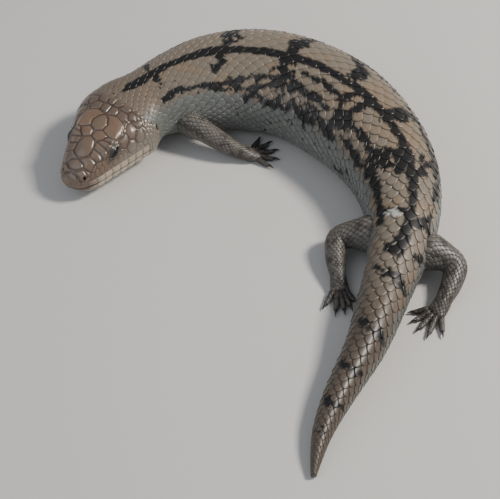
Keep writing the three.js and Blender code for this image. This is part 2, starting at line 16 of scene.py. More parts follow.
import bpy
import numpy as np
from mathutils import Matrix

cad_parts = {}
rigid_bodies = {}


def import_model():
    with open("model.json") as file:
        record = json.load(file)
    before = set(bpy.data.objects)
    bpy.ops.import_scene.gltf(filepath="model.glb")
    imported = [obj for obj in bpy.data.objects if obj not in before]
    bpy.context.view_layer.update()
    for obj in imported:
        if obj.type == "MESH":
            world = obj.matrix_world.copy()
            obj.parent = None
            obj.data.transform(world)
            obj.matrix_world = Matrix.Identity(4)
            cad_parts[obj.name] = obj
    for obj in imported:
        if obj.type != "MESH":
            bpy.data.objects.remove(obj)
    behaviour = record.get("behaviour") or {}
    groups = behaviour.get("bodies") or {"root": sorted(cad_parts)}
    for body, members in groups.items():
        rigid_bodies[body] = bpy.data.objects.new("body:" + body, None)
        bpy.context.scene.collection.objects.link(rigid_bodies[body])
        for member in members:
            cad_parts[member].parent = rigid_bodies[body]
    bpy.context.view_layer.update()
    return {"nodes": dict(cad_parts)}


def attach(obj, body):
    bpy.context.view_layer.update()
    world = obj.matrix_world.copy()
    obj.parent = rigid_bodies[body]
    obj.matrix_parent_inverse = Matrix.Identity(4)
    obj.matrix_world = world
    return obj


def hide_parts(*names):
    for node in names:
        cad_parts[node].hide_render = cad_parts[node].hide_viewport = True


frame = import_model()
for piece in bpy.context.selected_objects:
    piece.select_set(False)
print("solids loaded:", len(frame["nodes"]))

# %% [markdown]
# ## The animal's measures
#
# Each row of the table is a place along the spine, in millimetres from the snout: which way the
# spine runs there, the half width, the heights of the back and of the belly, the level at which
# it is widest, and how square the upper and the lower half are. They are the solid model's own.

# %% Measures along the spine
STATIONS = np.array(
    [
        # at, heading, half, back, belly, widest, crown, keel
        [0, 60, 1.6, 11.2, 8.2, 9.8, 2.0, 2.0],
        [0.8, 60, 4.4, 13.0, 6.5, 9.3, 2.1, 2.1],
        [2.2, 60, 6.9, 15.0, 5.0, 8.7, 2.3, 2.3],
        [4.5, 60, 8.7, 16.9, 4.0, 8.4, 2.4, 2.4],
        [10, 60, 11.4, 20.2, 3.2, 8.8, 2.5, 2.5],
        [17, 60, 13.9, 23.4, 2.7, 9.4, 2.6, 2.5],
        [24, 60.2, 16.6, 25.8, 2.4, 10.2, 2.6, 2.5],
        [33, 59.4, 19.9, 27.8, 2.2, 11.4, 2.5, 2.5],
        [43, 54.8, 22.8, 29.2, 2.1, 12.4, 2.4, 2.5],
        [51, 44.6, 21.4, 30.2, 2.2, 13.0, 2.3, 2.4],
        [61, 35.2, 18.4, 31.6, 2.0, 13.6, 2.2, 2.4],
        [78, 25.9, 21.8, 35.0, 0.8, 14.0, 2.1, 2.5],
        [97, 14.1, 25.2, 38.6, -0.6, 14.4, 2.1, 2.7],
        [128, -13.2, 27.4, 40.6, -0.6, 15.0, 2.1, 2.8],
        [165, -42.8, 27.4, 39.6, -0.6, 14.8, 2.1, 2.8],
        [200, -62.4, 24.0, 36.0, -0.6, 14.0, 2.1, 2.7],
        [235, -86.7, 18.9, 31.4, -0.5, 13.0, 2.1, 2.5],
        [262, -102.3, 14.6, 28.2, -0.4, 12.2, 2.1, 2.4],
        [285, -108.5, 11.7, 25.2, -0.4, 11.2, 2.1, 2.3],
        [310, -109.2, 9.9, 22.0, -0.4, 10.0, 2.1, 2.3],
        [334, -118, 7.7, 17.6, -0.4, 8.2, 2.1, 2.3],
        [358, -114.4, 5.6, 12.6, -0.3, 6.0, 2.1, 2.3],
        [378, -102.5, 3.1, 7.6, -0.3, 3.7, 2.0, 2.2],
        [390, -98.5, 1.1, 3.2, -0.2, 1.6, 2.0, 2.2],
    ]
)
LENGTH = 390.0
SNOUT = np.array([-91.534, 26.531])
HEADING, HALF, BACK, BELLY, WIDEST, CROWN, KEEL = range(1, 8)
print(f"{len(STATIONS)} stations, {2 * STATIONS[:, HALF].max():.0f} mm at the widest")

# %% [markdown]
# ## A smooth run between the rows
#
# A living outline has no corners, so the measures run smoothly from row to row. A plain spline
# would bulge past its rows where they change quickly. This cubic takes the harmonic mean of the
# slopes on both sides of a row, which never does.


# %% Smooth measures
def smooth(rows, column, s):
    """A monotone cubic through one column of a table, at every distance in s."""
    x = rows[:, 0]
    y = rows[:, column]
    h = np.diff(x)
    slope = np.diff(y) / h
    tangent = np.zeros(len(x))
    tangent[0] = slope[0]
    tangent[-1] = slope[-1]
    both = slope[:-1] * slope[1:]
    total = np.where(both > 0, slope[:-1] + slope[1:], 1.0)
    tangent[1:-1] = np.where(both > 0, 2 * both / total, 0.0)
    s = np.clip(s, x[0], x[-1])
    i = np.clip(np.searchsorted(x, s, side="right") - 1, 0, len(x) - 2)
    u = (s - x[i]) / h[i]
    v = 1 - u
    value = y[i] * (1 + 2 * u) * v * v + y[i + 1] * u * u * (3 - 2 * u)
    return value + tangent[i] * h[i] * u * v * v - tangent[i + 1] * h[i] * u * u * v


# %% [markdown]
# ## The curve of the spine
#
# The spine lies in a wide curve. It could be drawn as a curve through points, but its length
# would then change with every shift of a point. Walking in short steps, each in the heading of
# its place, keeps the length.

# %% Spine
SPINE_STEP = 0.5
fine = np.arange(0, LENGTH + 1, SPINE_STEP)
turns = np.radians(smooth(STATIONS, HEADING, fine + SPINE_STEP / 2))
spine_x = SNOUT[0] + np.concatenate([[0], np.cumsum(np.cos(turns) * SPINE_STEP)])[:-1]
spine_y = SNOUT[1] + np.concatenate([[0], np.cumsum(np.sin(turns) * SPINE_STEP)])[:-1]
print(f"the tail ends at x {spine_x[-1]:.0f}, y {spine_y[-1]:.0f} mm")

# %% [markdown]
# ## A ring of skin
#
# Cut across, the animal is neither round nor square: its back is arched and its belly flat. An
# ellipse with another power than two gives both, with one power for the upper half and one for
# the lower.


# %% Rings
def ring_point(s, angle):
    """The skin at a distance along the spine and an angle round it: 0 left, 90 on the back."""
    half, back, belly, widest, crown, keel = [
        smooth(STATIONS, column, s) for column in (HALF, BACK, BELLY, WIDEST, CROWN, KEEL)
    ]
    turn = np.radians(smooth(STATIONS, HEADING, s))
    c = np.cos(angle)
    q = np.sin(angle)
    n = np.where(q >= 0, crown, keel)
    rise = np.where(q >= 0, back - widest, widest - belly)
    side = half * np.sign(c) * np.abs(c) ** (2 / n)
    up = np.maximum(widest + rise * np.sign(q) * np.abs(q) ** (2 / n), 0.0)
    x = np.interp(s, fine, spine_x) + np.sin(turn) * side
    y = np.interp(s, fine, spine_y) - np.cos(turn) * side
    return np.stack([x, y, up], -1)


# %% [markdown]
# ## Places on the skin
#
# Scales and markings belong to places on the skin, not to angles in space. So a place is given
# by its distance along the spine and its distance round the body from the middle of the back,
# left being positive, as if the skin were unrolled. A table turns that into an angle.

# %% Distances round the body
RINGS = np.arange(0, LENGTH + 0.1, 1.0)
SHARES = np.linspace(-1, 1, 241)
RING_POINTS = 361


def girth_tables():
    """For each ring: half the girth, and the angle at each share of it from the back."""
    half_turn = np.linspace(0, math.pi, RING_POINTS)
    girths = []
    angles = []
    for s in RINGS:
        points = ring_point(np.full(RING_POINTS, s), math.pi / 2 - half_turn)
        steps = np.linalg.norm(np.diff(points, axis=0), axis=1)
        arc = np.concatenate([[0], np.cumsum(steps)])
        girths.append(arc[-1])
        swing = np.interp(np.abs(SHARES) * arc[-1], arc, half_turn)
        angles.append(math.pi / 2 - np.sign(SHARES) * swing)
    return np.array(girths), np.array(angles)


GIRTHS, ANGLES = girth_tables()
print(f"the greatest girth is {2 * GIRTHS.max():.0f} mm")


def half_girth(s):
    """Distance from the middle of the back round to the middle of the belly."""
    return np.interp(s, RINGS, GIRTHS)


def angle_of(s, around):
    """The angle at a distance round the body from the middle of the back."""
    share = np.clip(around / half_girth(s), -1, 1)
    row = np.clip(s, 0, LENGTH - 1e-6)
    i = np.floor(row).astype(int)
    column = (share + 1) / 2 * (len(SHARES) - 1)
    j = np.clip(np.floor(column).astype(int), 0, len(SHARES) - 2)
    fi = row - i
    fj = column - j
    low = ANGLES[i, j] * (1 - fj) + ANGLES[i, j + 1] * fj
    high = ANGLES[i + 1, j] * (1 - fj) + ANGLES[i + 1, j + 1] * fj
    return low * (1 - fi) + high * fi


# %% [markdown]
# ## Resting on the floor
#
# A resting belly is pressed flat by its own weight. Cutting it off level would put skin and
# scales in one plane, where they show through each other. Pressing the heights together as they
# near the floor flattens it too, and keeps the scales over the skin.

# %% Points over the skin
FLOOR_GAP = 0.04
TRUNK_SOFTNESS = 0.6
LIMB_SOFTNESS = 0.3
REACH_ALONG = 0.4
REACH_ROUND = 0.01


def over_floor(z, softness):
    """Heights pressed together near the floor, in the same order."""
    return FLOOR_GAP + softness * np.logaddexp(0, z / softness)


def trunk(s, around, height):
    """A point at a height over the trunk's skin."""
    s = np.clip(s, 0.02, LENGTH - 0.02)
    angle = angle_of(s, around)
    here = ring_point(s, angle)
    ahead = ring_point(s + REACH_ALONG, angle) - ring_point(s - REACH_ALONG, angle)
    across = ring_point(s, angle - REACH_ROUND) - ring_point(s, angle + REACH_ROUND)
    out = np.cross(across, ahead)
    out /= np.linalg.norm(out, axis=-1, keepdims=True) + 1e-12
    point = here + out * height[..., None]
    point[..., 2] = over_floor(point[..., 2], TRUNK_SOFTNESS)
    return point


# %% [markdown]
# ## Uneven edges
#
# Nothing on a living skin is even, so a smooth noise in two directions moves the edges of the
# markings and tints the scales. It is worked out for each point of the meshes, because a pattern
# of dark scales has to follow the skin's own directions.


# %% Noise
def lattice(ix, iy, seed):
    """An uneven number from 0 to 1 for each cell of a lattice, always the same for that cell."""
    mixed = np.sin(ix * 127.1 + iy * 311.7 + seed * 74.7) * 43758.5453
    return mixed - np.floor(mixed)


def noise(x, y, seed=0):
    """Smooth noise from -1 to 1 with two sizes of detail."""
    total = 0
    for octave, weight in ((1, 0.65), (2.3, 0.35)):
        px = x * octave
        py = y * octave
        ix = np.floor(px)
        iy = np.floor(py)
        fx = px - ix
        fy = py - iy
        fx = fx * fx * (3 - 2 * fx)
        fy = fy * fy * (3 - 2 * fy)
        near = lattice(ix, iy, seed) * (1 - fx) + lattice(ix + 1, iy, seed) * fx
        far = lattice(ix, iy + 1, seed) * (1 - fx) + lattice(ix + 1, iy + 1, seed) * fx
        total = total + weight * (2 * (near * (1 - fy) + far * fy) - 1)
    return total


# %% [markdown]
# ## Steps, mixes and colours
#
# Three small helpers: a soft step, a mix of two colours, and a colour as light. A screen's
# numbers from 0 to 255 aren't light, and a power of 2.2 turns them into it.


# %% Steps and colours
def step(low, high, x):
    """0 below low, 1 above high, and smooth between."""
    t = np.clip((x - low) / (high - low), 0, 1)
    return t * t * (3 - 2 * t)


def blend(first, second, share):
    """A mix of two colours by a share for each place."""
    share = np.asarray(share)[..., None]
    return first * (1 - share) + second * share


def colour(red, green, blue):
    """A colour as light, from its values on a screen from 0 to 255."""
    return (np.array([red, green, blue]) / 255) ** 2.2


# %% [markdown]
# ## The markings
#
# A ragged black line runs down the spine, and two broken ones along each flank. Dark bands join
# them and leave pale, tan blotches between. The markings could be painted on an image, but
# strokes with a width, drawn on the unrolled skin, stay sharp from near. The left side follows
# the real animal's. The right side, out of sight, has like marks a little moved.

# %% Strokes of the markings
VERTEBRAL = np.array(
    [[50, -2.6], [58, -1.6], [75, -1.2], [90, 0.5], [100, 1.6], [110, 2.8], [122, 4.0], [135, 4.2],
     [146, 3.2], [160, 2.0], [172, 0.8], [184, -0.8], [200, -2.0], [212, -3.0], [225, -3.6],
     [245, -3.6], [262, -2.6], [275, -2.2], [300, -2.0], [340, -0.8], [390, 0]]
)
STROKES_LEFT = [
    # half width, then places as distance along and distance round the body
    (0.9, [[62, 14], [75, 14.5], [85, 17], [95, 19.3], [108, 20.3], [120, 19], [135, 17.2], [140, 14]]),
    (0.7, [[95, 22], [104, 23.5], [117, 24], [126, 23], [140, 20], [150, 20]]),
    (1.8, [[117, 28.5], [123, 27], [129, 28.5]]),
    (1.1, [[118, 26], [124, 23]]),
    (1.2, [[134, 30], [150, 29.5], [155, 25.5], [162, 28], [175, 27.6], [185, 25.5], [191, 26]]),
    (1.6, [[142, 30], [145, 24], [142, 17], [139, 11], [137, 5]]),
    (1.1, [[134, 12.4], [142, 12.2], [150, 16.8], [162, 17.4], [178, 18]]),
    (0.6, [[150, 9.9], [162, 9.6], [176, 8.9]]),
    (1.2, [[66, 1], [67.5, 7]]),
    (1.7, [[101, 2], [102, 9], [98, 10.6]]),
    (1.6, [[186, 25], [185, 19], [183, 14], [179, 9], [181, 3]]),
    (1.5, [[190, 3], [189, 10], [192, 15]]),
    (1.2, [[185, 21], [192, 18], [197, 14]]),
    (1.2, [[190, 14], [203, 13.4], [215, 12.4], [224, 9]]),
    (1.4, [[195, 21], [205, 20.5], [217, 20.7], [225, 16.6], [240, 14.3], [252, 11.9]]),
    (1.3, [[218, 12], [222, 17], [228, 19.5]]),
    (2.0, [[225, 0], [220, 4.5], [226, 8]]),
    (1.2, [[229, -1], [233, 3]]),
    (1.0, [[255, 9.5], [256.5, 4], [255, 0]]),
    (1.2, [[252, 12], [262, 10]]),
    (1.0, [[272, 0], [275, 3.5], [279, 2]]),
    (0.8, [[288, 6], [291, 0], [290, -5], [295, -12]]),
    (0.8, [[317, 5], [320, 0], [319, -4], [322, -10]]),
    (0.7, [[339, 4], [341, -1], [340, -6]]),
    (0.6, [[357, 4], [359, 0], [358, -5]]),
    (0.5, [[372, 3], [373, -3]]),
]
STROKES_RIGHT = [
    (0.7, [[66, -3], [68, -11]]),
    (1.9, [[105, 0], [108, -5], [109, -11], [112, -20]]),
    (0.9, [[113, -5], [106, -9]]),
    (1.7, [[139, 1], [142, -5], [141, -11], [146, -22]]),
    (1.5, [[172, -2], [175, -7], [172, -13], [164, -17], [168, -26]]),
    (1.6, [[198, -3], [202, -9], [200, -14], [206, -21]]),
    (1.8, [[235, -5], [230, -10], [226, -16], [230, -21]]),
    (1.3, [[262, -5], [258, -11], [263, -18]]),
    (0.8, [[278, -8], [274, -15]]),
    (0.9, [[60, -17], [85, -18], [110, -21], [150, -22], [190, -21], [225, -18], [258, -13]]),
    (1.4, [[98, -27], [120, -29], [150, -30], [186, -28], [220, -23], [242, -18]]),
]
CLOUDS = [
    # middle along and round, then half the length and half the width of a cloud of dark flecks
    (143, 15, 7, 15), (185, 13, 9, 13), (224, 6, 10, 9), (196, 19, 16, 5), (170, 24, 16, 5),
    (228, 15, 14, 4), (140, -7, 6, 9), (173, -9, 6, 9), (201, -10, 6, 9), (229, -10, 8, 10),
    (108, -6, 6, 9), (276, 0, 7, 5), (292, -3, 6, 8), (320, -3, 4, 8), (341, -2, 4, 6),
    (358, 0, 4, 5), (372, 0, 3, 4),
]
FLANK = np.array([[50, 14], [75, 16], [100, 22], [130, 28], [160, 27], [200, 23], [240, 17], [262, 13],
                  [300, 11], [390, 4]])
print(f"{len(STROKES_LEFT + STROKES_RIGHT)} strokes and {len(CLOUDS)} clouds of flecks")

# %% [markdown]
# ## How dark each place is
#
# Every mark gives a distance inside its own edge. The greatest of them decides how dark a place
# is, so marks that touch flow together, and one ragged noise frays all their edges alike.

# %% Darkness of the markings
STRIPE_HALF = 2.5
STRIPE_FROM = (47, 56)
STRIPE_TO = (272, 292)
STROKE_GROWTH = 1.25
TAIL_CLOUDS_FROM = 270


def to_stroke(s, around, places):
    """The distance from a line of places."""
    places = np.array(places, float)
    nearest = np.full(s.shape, 1e9)
    for a, b in zip(places[:-1], places[1:]):
        run = b - a
        t = ((s - a[0]) * run[0] + (around - a[1]) * run[1]) / (run @ run)
        t = np.clip(t, 0, 1)
        gap = np.hypot(s - a[0] - t * run[0], around - a[1] - t * run[1])
        nearest = np.minimum(nearest, gap)
    return nearest


def darkness(s, around, jitter):
    """How black the skin is at each place, from 0 to 1."""
    ragged = 1.5 * noise(s / 4.2, around / 3.4, 3) + 0.9 * noise(s / 1.6, around / 1.4, 4) + jitter
    middle = np.interp(s, VERTEBRAL[:, 0], VERTEBRAL[:, 1])
    width = STRIPE_HALF + 0.4 * np.sin(s / 7.0)
    width = width * step(*STRIPE_FROM, s) * (1 - 1.4 * step(*STRIPE_TO, s))
    inside = width - np.abs(around - middle) - 0.65 * ragged
    for half, places in STROKES_LEFT + STROKES_RIGHT:
        inside = np.maximum(inside, STROKE_GROWTH * half + 0.25 - to_stroke(s, around, places))
    spots = noise(s / 3.1, around / 2.3, 17) + 0.5 * noise(s / 1.5, around / 1.2, 18)
    for mid_s, mid_a, half_s, half_a in CLOUDS:
        reach = np.hypot((s - mid_s) / half_s, (around - mid_a) / half_a)
        share = 0.05 if mid_s < TAIL_CLOUDS_FROM else -0.20
        inside = np.maximum(inside, 3.2 * (spots - share) - 4.5 * step(0.55, 1.1, reach))
    fleck = noise(s / 4.2, around / 3.4, 11) - 0.62
    on_flank = step(24, 30, np.abs(around)) * (1 - step(230, 262, s)) * step(90, 110, s)
    inside = np.maximum(inside, 5.0 * fleck * on_flank - (1 - on_flank) * 9)
    return step(-0.28, 0.12, inside + ragged)


# %% [markdown]
# ## The colours
#
# The back is tan with a warmer cast here and there. The flanks turn grey and the belly pale, the
# head is brown with warm shields in its middle, and the tail and the legs are dusky. A small
# piece of shed skin, nearly white, still lies over the hips. Colours are kept by name, so one
# change reaches every scale.

# %% Colours
TAN = colour(127, 116, 102)
WARM = colour(135, 114, 92)
GREY = colour(109, 111, 107)
PALE = colour(160, 157, 148)
DUSK = colour(78, 68, 59)
BLACK = colour(11, 10, 10)
SEAM = colour(58, 40, 31)
SHED = colour(196, 194, 188)
# Grey skin of the lids, made darker as painted shade of the hooded eye.
EYELID_GREY_AND_SHADE = colour(74, 70, 66)
HEAD_BROWN = colour(108, 92, 79)
HEAD_WARM = colour(124, 97, 76)
LIP = colour(170, 155, 137)
LEG = colour(97, 92, 86)
LEG_DARK = colour(62, 56, 51)
SHED_AT = 257.5
SHED_HALF = 3.0


def trunk_colour(s, around, jitter, tone):
    """The colour of a scale's surface at each place."""
    share = np.abs(around) / half_girth(s)
    back = blend(TAN, WARM, 0.55 * step(0.1, 0.7, noise(s / 17, around / 12, 21) + tone * 0.5))
    back = blend(back, DUSK, 0.80 * step(268, 325, s) + 0.10 * (tone + 1))
    back = blend(back, HEAD_BROWN, 0.55 * (1 - step(50, 82, s)))
    edge = np.interp(s, FLANK[:, 0], FLANK[:, 1]) + 1.5 * noise(s / 14, around * 0, 5)
    flank = blend(GREY, PALE, 0.5 * step(0.55, 0.8, share))
    flank = blend(flank, DUSK, 0.35 * step(265, 300, s))
    skin = blend(back, flank, step(edge, edge + 4.5, np.abs(around) + 2.0 * jitter))
    skin = blend(skin, PALE, 0.4 * step(0.72, 0.95, share))
    skin = blend(skin, BLACK, 0.97 * darkness(s, around, jitter))
    loose = SHED_HALF - np.abs(s - SHED_AT + 0.25 * (around - 4)) - 0.5 * np.abs(around - 4.5)
    skin = blend(skin, SHED, 0.8 * step(0.0, 1.2, loose + 0.8 * noise(s / 1.3, around / 1.3, 41)))
    return skin * (1 + 0.10 * tone)[..., None]


# %% [markdown]
# ## Making meshes
#
# A mesh is a list of points and a list of faces. Given as arrays it is made at once, where
# adding thousands of scales by hand or by operator would take minutes. Each point carries its
# colour, and a map gives each scale a small patch at its root's place on the unrolled skin.

# %% A mesh from arrays
MM = 0.001


def mesh_object(name, points, quads, tint, uv, material):
    """A smooth mesh of four-sided faces, with a colour for each point and a map."""
    mesh = bpy.data.meshes.new(name)
    count = len(points)
    faces = len(quads)
    mesh.vertices.add(count)
    mesh.vertices.foreach_set("co", (points * MM).astype(np.float32).ravel())
    mesh.loops.add(faces * 4)
    mesh.loops.foreach_set("vertex_index", quads.astype(np.int32).ravel())
    mesh.polygons.add(faces)
    mesh.polygons.foreach_set("loop_start", np.arange(0, faces * 4, 4, dtype=np.int32))
    mesh.update(calc_edges=True)
    mesh.polygons.foreach_set("use_smooth", np.ones(faces, dtype=bool))
    shade = mesh.attributes.new("tint", "FLOAT_COLOR", "POINT")
    rgba = np.ones((count, 4), dtype=np.float32)
    rgba[:, :3] = np.clip(tint, 0, 1)
    shade.data.foreach_set("color", rgba.ravel())
    layer = mesh.uv_layers.new(name="OFBake")
    corners = uv if len(uv) == faces * 4 else uv[quads.ravel()]
    layer.data.foreach_set("uv", corners.astype(np.float32).ravel())
    mesh.materials.append(material)
    mesh.validate()
    obj = bpy.data.objects.new(name, mesh)
    bpy.context.collection.objects.link(obj)
    return obj


# %% [markdown]
# ## One scale
#
# A scale is a thin plate, rounded or pointed behind, with a skirt that runs down into the skin
# round its open edges. It has a few dozen faces only, because it is repeated thousands of times.
# Its front is covered by the scale before it, so it has no skirt there.


# %% The form of a scale
def grid_quads(rows, columns, closed):
    """The faces of a grid of points, its last column joined to its first if closed."""
    last = columns if closed else columns - 1
    r = np.arange(rows - 1)[:, None]
    c = np.arange(last)[None, :]
    a = r * columns + c
    b = r * columns + (c + 1) % columns
    return np.stack([a, b, b + columns, a + columns], -1).reshape(-1, 4)


def template(across, along):
    """One scale: its points as (share across, share along, drop) and its faces."""
    x = np.linspace(-1, 1, across)
    t = np.linspace(0, 1, along) ** 0.8
    grid_t, grid_x = np.meshgrid(t, x, indexing="ij")
    top = np.stack([grid_x.ravel(), grid_t.ravel(), np.zeros(across * along)], -1)
    quads = grid_quads(along, across, False)
    left = [r * across for r in range(along)]
    rear = [(along - 1) * across + c for c in range(1, across)]
    right = [r * across + across - 1 for r in range(along - 2, -1, -1)]
    rim = np.array(left + rear + right)
    skirt = top[rim].copy()
    skirt[:, 2] = 1
    first = len(top)
    walls = []
    for k in range(len(rim) - 1):
        walls.append([rim[k], rim[k + 1], first + k + 1, first + k])
    return np.vstack([top, skirt]), np.vstack([quads, np.array(walls)])


def outline(t, point):
    """Half the width of a scale at a share of its length: rounded, or pointed behind."""
    front = 0.70 + 0.30 * np.sin(np.clip(t / 0.45, 0, 1) * math.pi / 2)
    rear = np.clip(1 - np.clip((t - 0.45) / 0.55, 0, 1) ** point, 0.004, 1) ** 0.72
    return front * rear


# %% [markdown]
# ## Laying the scales
#
# All the scales of one region become one object. They could be copies of one scale, placed and
# turned one by one, but then they would stay flat. Here each point of each scale is laid over
# the curved skin itself, so a scale bends with the body, and it has the markings of its place.

# %% Laying scales
DRAWN_WIDTH = 5.0
MAP_PATCH = 0.0015
scales_made = []


def scale_height(x, t, drop, width, plate):
    """How high a scale's points lie over the skin: its rear edge is lifted, its middle domed."""
    half = outline(t, plate["point"])
    rise = plate["lift"] * (t - 0.12) - plate["dome"] * x**2 * half**2
    rise = rise + plate["swell"] * np.sin(math.pi * np.clip(t, 0, 1)) - 0.10 * step(0.86, 1, t)
    size = width / DRAWN_WIDTH
    return rise * size - drop * plate["skirt"] * size


def scale_streaks_and_gap_shade(x, t, drop, around, tone, plate):
    """How light a scale is: painted gap shade on its rim and skirt, and fine streaks along it."""
    # Painted shade: the sides, the rear rim and the skirt of each scale are darkened, as in the gaps
    # between scales.
    rim = np.maximum(0.35 * np.abs(x) ** 8, step(0.88, 1.0, t)) * (1 - drop) + 0.75 * drop
    rim = rim * (1 - plate.get("less_gap_shade_on_flanks", 0) * step(19, 28, np.abs(around)))
    streak = 1 + 0.10 * np.sin(x * 11 + tone * 20) * (1 - rim) + 0.16 * (t - 0.6)
    return (1 - plate["edge"] * rim) * streak


def lay_scales(name, surface, roots, shade, material, plate, uv_of):
    """One object of many scales. roots: distance along, distance round, length, width, tone."""
    cell, quads = template(plate["across"], plate["along"])
    x, t, drop = [cell[None, :, column] for column in range(3)]
    along, around, length, width, tone = [column[:, None] for column in roots.T]
    a = around + x * outline(t, plate["point"]) * width / 2
    s = np.broadcast_to(along + t * length, a.shape)
    height = np.broadcast_to(scale_height(x, t, drop, width, plate), a.shape)
    points = surface(s, a, height).reshape(-1, 3)
    jitter = np.broadcast_to(plate["ragged"] * np.sin(tone * 91.7), a.shape)
    tint = shade(s, a, jitter, np.broadcast_to(tone, a.shape))
    # Painted shade of the gaps on each scale's rim and skirt, with its streaks.
    tint = tint * scale_streaks_and_gap_shade(x, t, drop, around, tone, plate)[..., None]
    faces = quads[None] + (np.arange(len(roots)) * cell.shape[0])[:, None, None]
    centre = uv_of(along, around)
    patch = np.stack([centre[0] + MAP_PATCH * t, centre[1] + MAP_PATCH * x], -1)
    faces = faces.reshape(-1, 4)
    tint = tint.reshape(-1, 3)
    patch = patch.reshape(-1, 2)
    scales_made.append(mesh_object(name, points, faces, tint, patch, material))


# %% [markdown]
# ## Materials
#
# The skin is smooth horn: a broad soft shine with a thin gloss over it. Its colour comes from the
# points of the meshes, and a fine grain in the object's own space breaks up the shine. The
# wrapping class lets a node's output be added and multiplied like a number, so a material reads
# as a sum and not as a list of links.


# %% Nodes as numbers
class Socket:
    """A node's output that can be added and multiplied like a number."""

    def __init__(self, tree, output):
        self.tree = tree
        self.output = output

    def _math(self, operation, other):
        node = self.tree.nodes.new("ShaderNodeMath")
        node.operation = operation
        self.tree.links.new(self.output, node.inputs[0])
        if isinstance(other, Socket):
            self.tree.links.new(other.output, node.inputs[1])
        else:
            node.inputs[1].default_value = other
        return Socket(self.tree, node.outputs[0])

    def __add__(self, other):
        return self._math("ADD", other)

    def __mul__(self, other):
        return self._math("MULTIPLY", other)


# %% [markdown]
# ## A paint
#
# Each finish starts as a new material with its surface node. Short calls then set its values,
# read the colour of the points, make a grain and turn the grain into a bump.


# %% Paint
class Paint:
    """A material built from nodes, with short ways to make textures and to set the surface."""

    def __init__(self, name):
        self.material = bpy.data.materials.new(name)
        self.material.use_nodes = True
        self.tree = self.material.node_tree
        self.surface = self.tree.nodes["Principled BSDF"]

    def set(self, **values):
        """Sets values of the surface, or links nodes to them. An underscore stands for a space."""
        for name, value in values.items():
            socket = self.surface.inputs[name.replace("_", " ")]
            if isinstance(value, Socket):
                self.tree.links.new(value.output, socket)
            else:
                socket.default_value = value
        return self

    def attribute(self, name):
        """The colour that the points carry under a name."""
        node = self.tree.nodes.new("ShaderNodeAttribute")
        node.attribute_name = name
        return Socket(self.tree, node.outputs["Color"])

    def grain(self, scale):
        """A fine noise in the object's own space."""
        place = self.tree.nodes.new("ShaderNodeTexCoord")
        node = self.tree.nodes.new("ShaderNodeTexNoise")
        node.inputs["Scale"].default_value = scale
        node.inputs["Detail"].default_value = 3.0
        self.tree.links.new(place.outputs["Object"], node.inputs["Vector"])
        return Socket(self.tree, node.outputs[0])

    def bump(self, height, strength, distance):
        """The direction of a surface that a height makes uneven."""
        node = self.tree.nodes.new("ShaderNodeBump")
        node.inputs["Strength"].default_value = strength
        node.inputs["Distance"].default_value = distance
        self.tree.links.new(height.output, node.inputs["Height"])
        return Socket(self.tree, node.outputs["Normal"])


# %% [markdown]
# ## Horn, eyes and claws
#
# The head's shields are polished and shine more than the scales of the body. The eyes are wet,
# and the claws are dark horn. One function makes both kinds of horn, because they differ only in
# their roughness and their gloss.


# %% Materials
def horn(name, roughness, coat):
    """Scales and skin: coloured by their points, softly shining."""
    paint = Paint(name)
    fine_grain = paint.grain(1800.0)
    coarse = paint.grain(300.0)
    paint.set(Base_Color=paint.attribute("tint"))
    paint.set(Roughness=coarse * 0.22 + roughness)
    paint.set(Coat_Weight=coat, Coat_Roughness=0.22)
    paint.set(Normal=paint.bump(fine_grain + coarse, 0.35, 0.00012))
    return paint.material


SCALE_HORN = horn("scale horn", 0.32, 0.08)
HEAD_HORN = horn("head shields", 0.25, 0.55)
EYE_WET = Paint("eye").set(Base_Color=(0.012, 0.010, 0.009, 1), Roughness=0.16, Coat_Weight=0.4).material
CLAW_HORN = Paint("claw horn").set(Base_Color=(0.030, 0.021, 0.016, 1), Roughness=0.28).material
FLOOR_PAINT = Paint("floor").set(Base_Color=(0.62, 0.60, 0.57, 1), Roughness=0.9).material
print("materials:", SCALE_HORN.name, HEAD_HORN.name, EYE_WET.name, CLAW_HORN.name)

# %% [markdown]
# ## The head's shields
#
# A skink's head carries large shields in a fixed order, each with its own name. They could be
# separate plates, but on the animal they are one skin with fine seams. So each is an outline of
# corners, given as distance from the snout and distance out from the middle of the head, and
# the skin rises inside it.

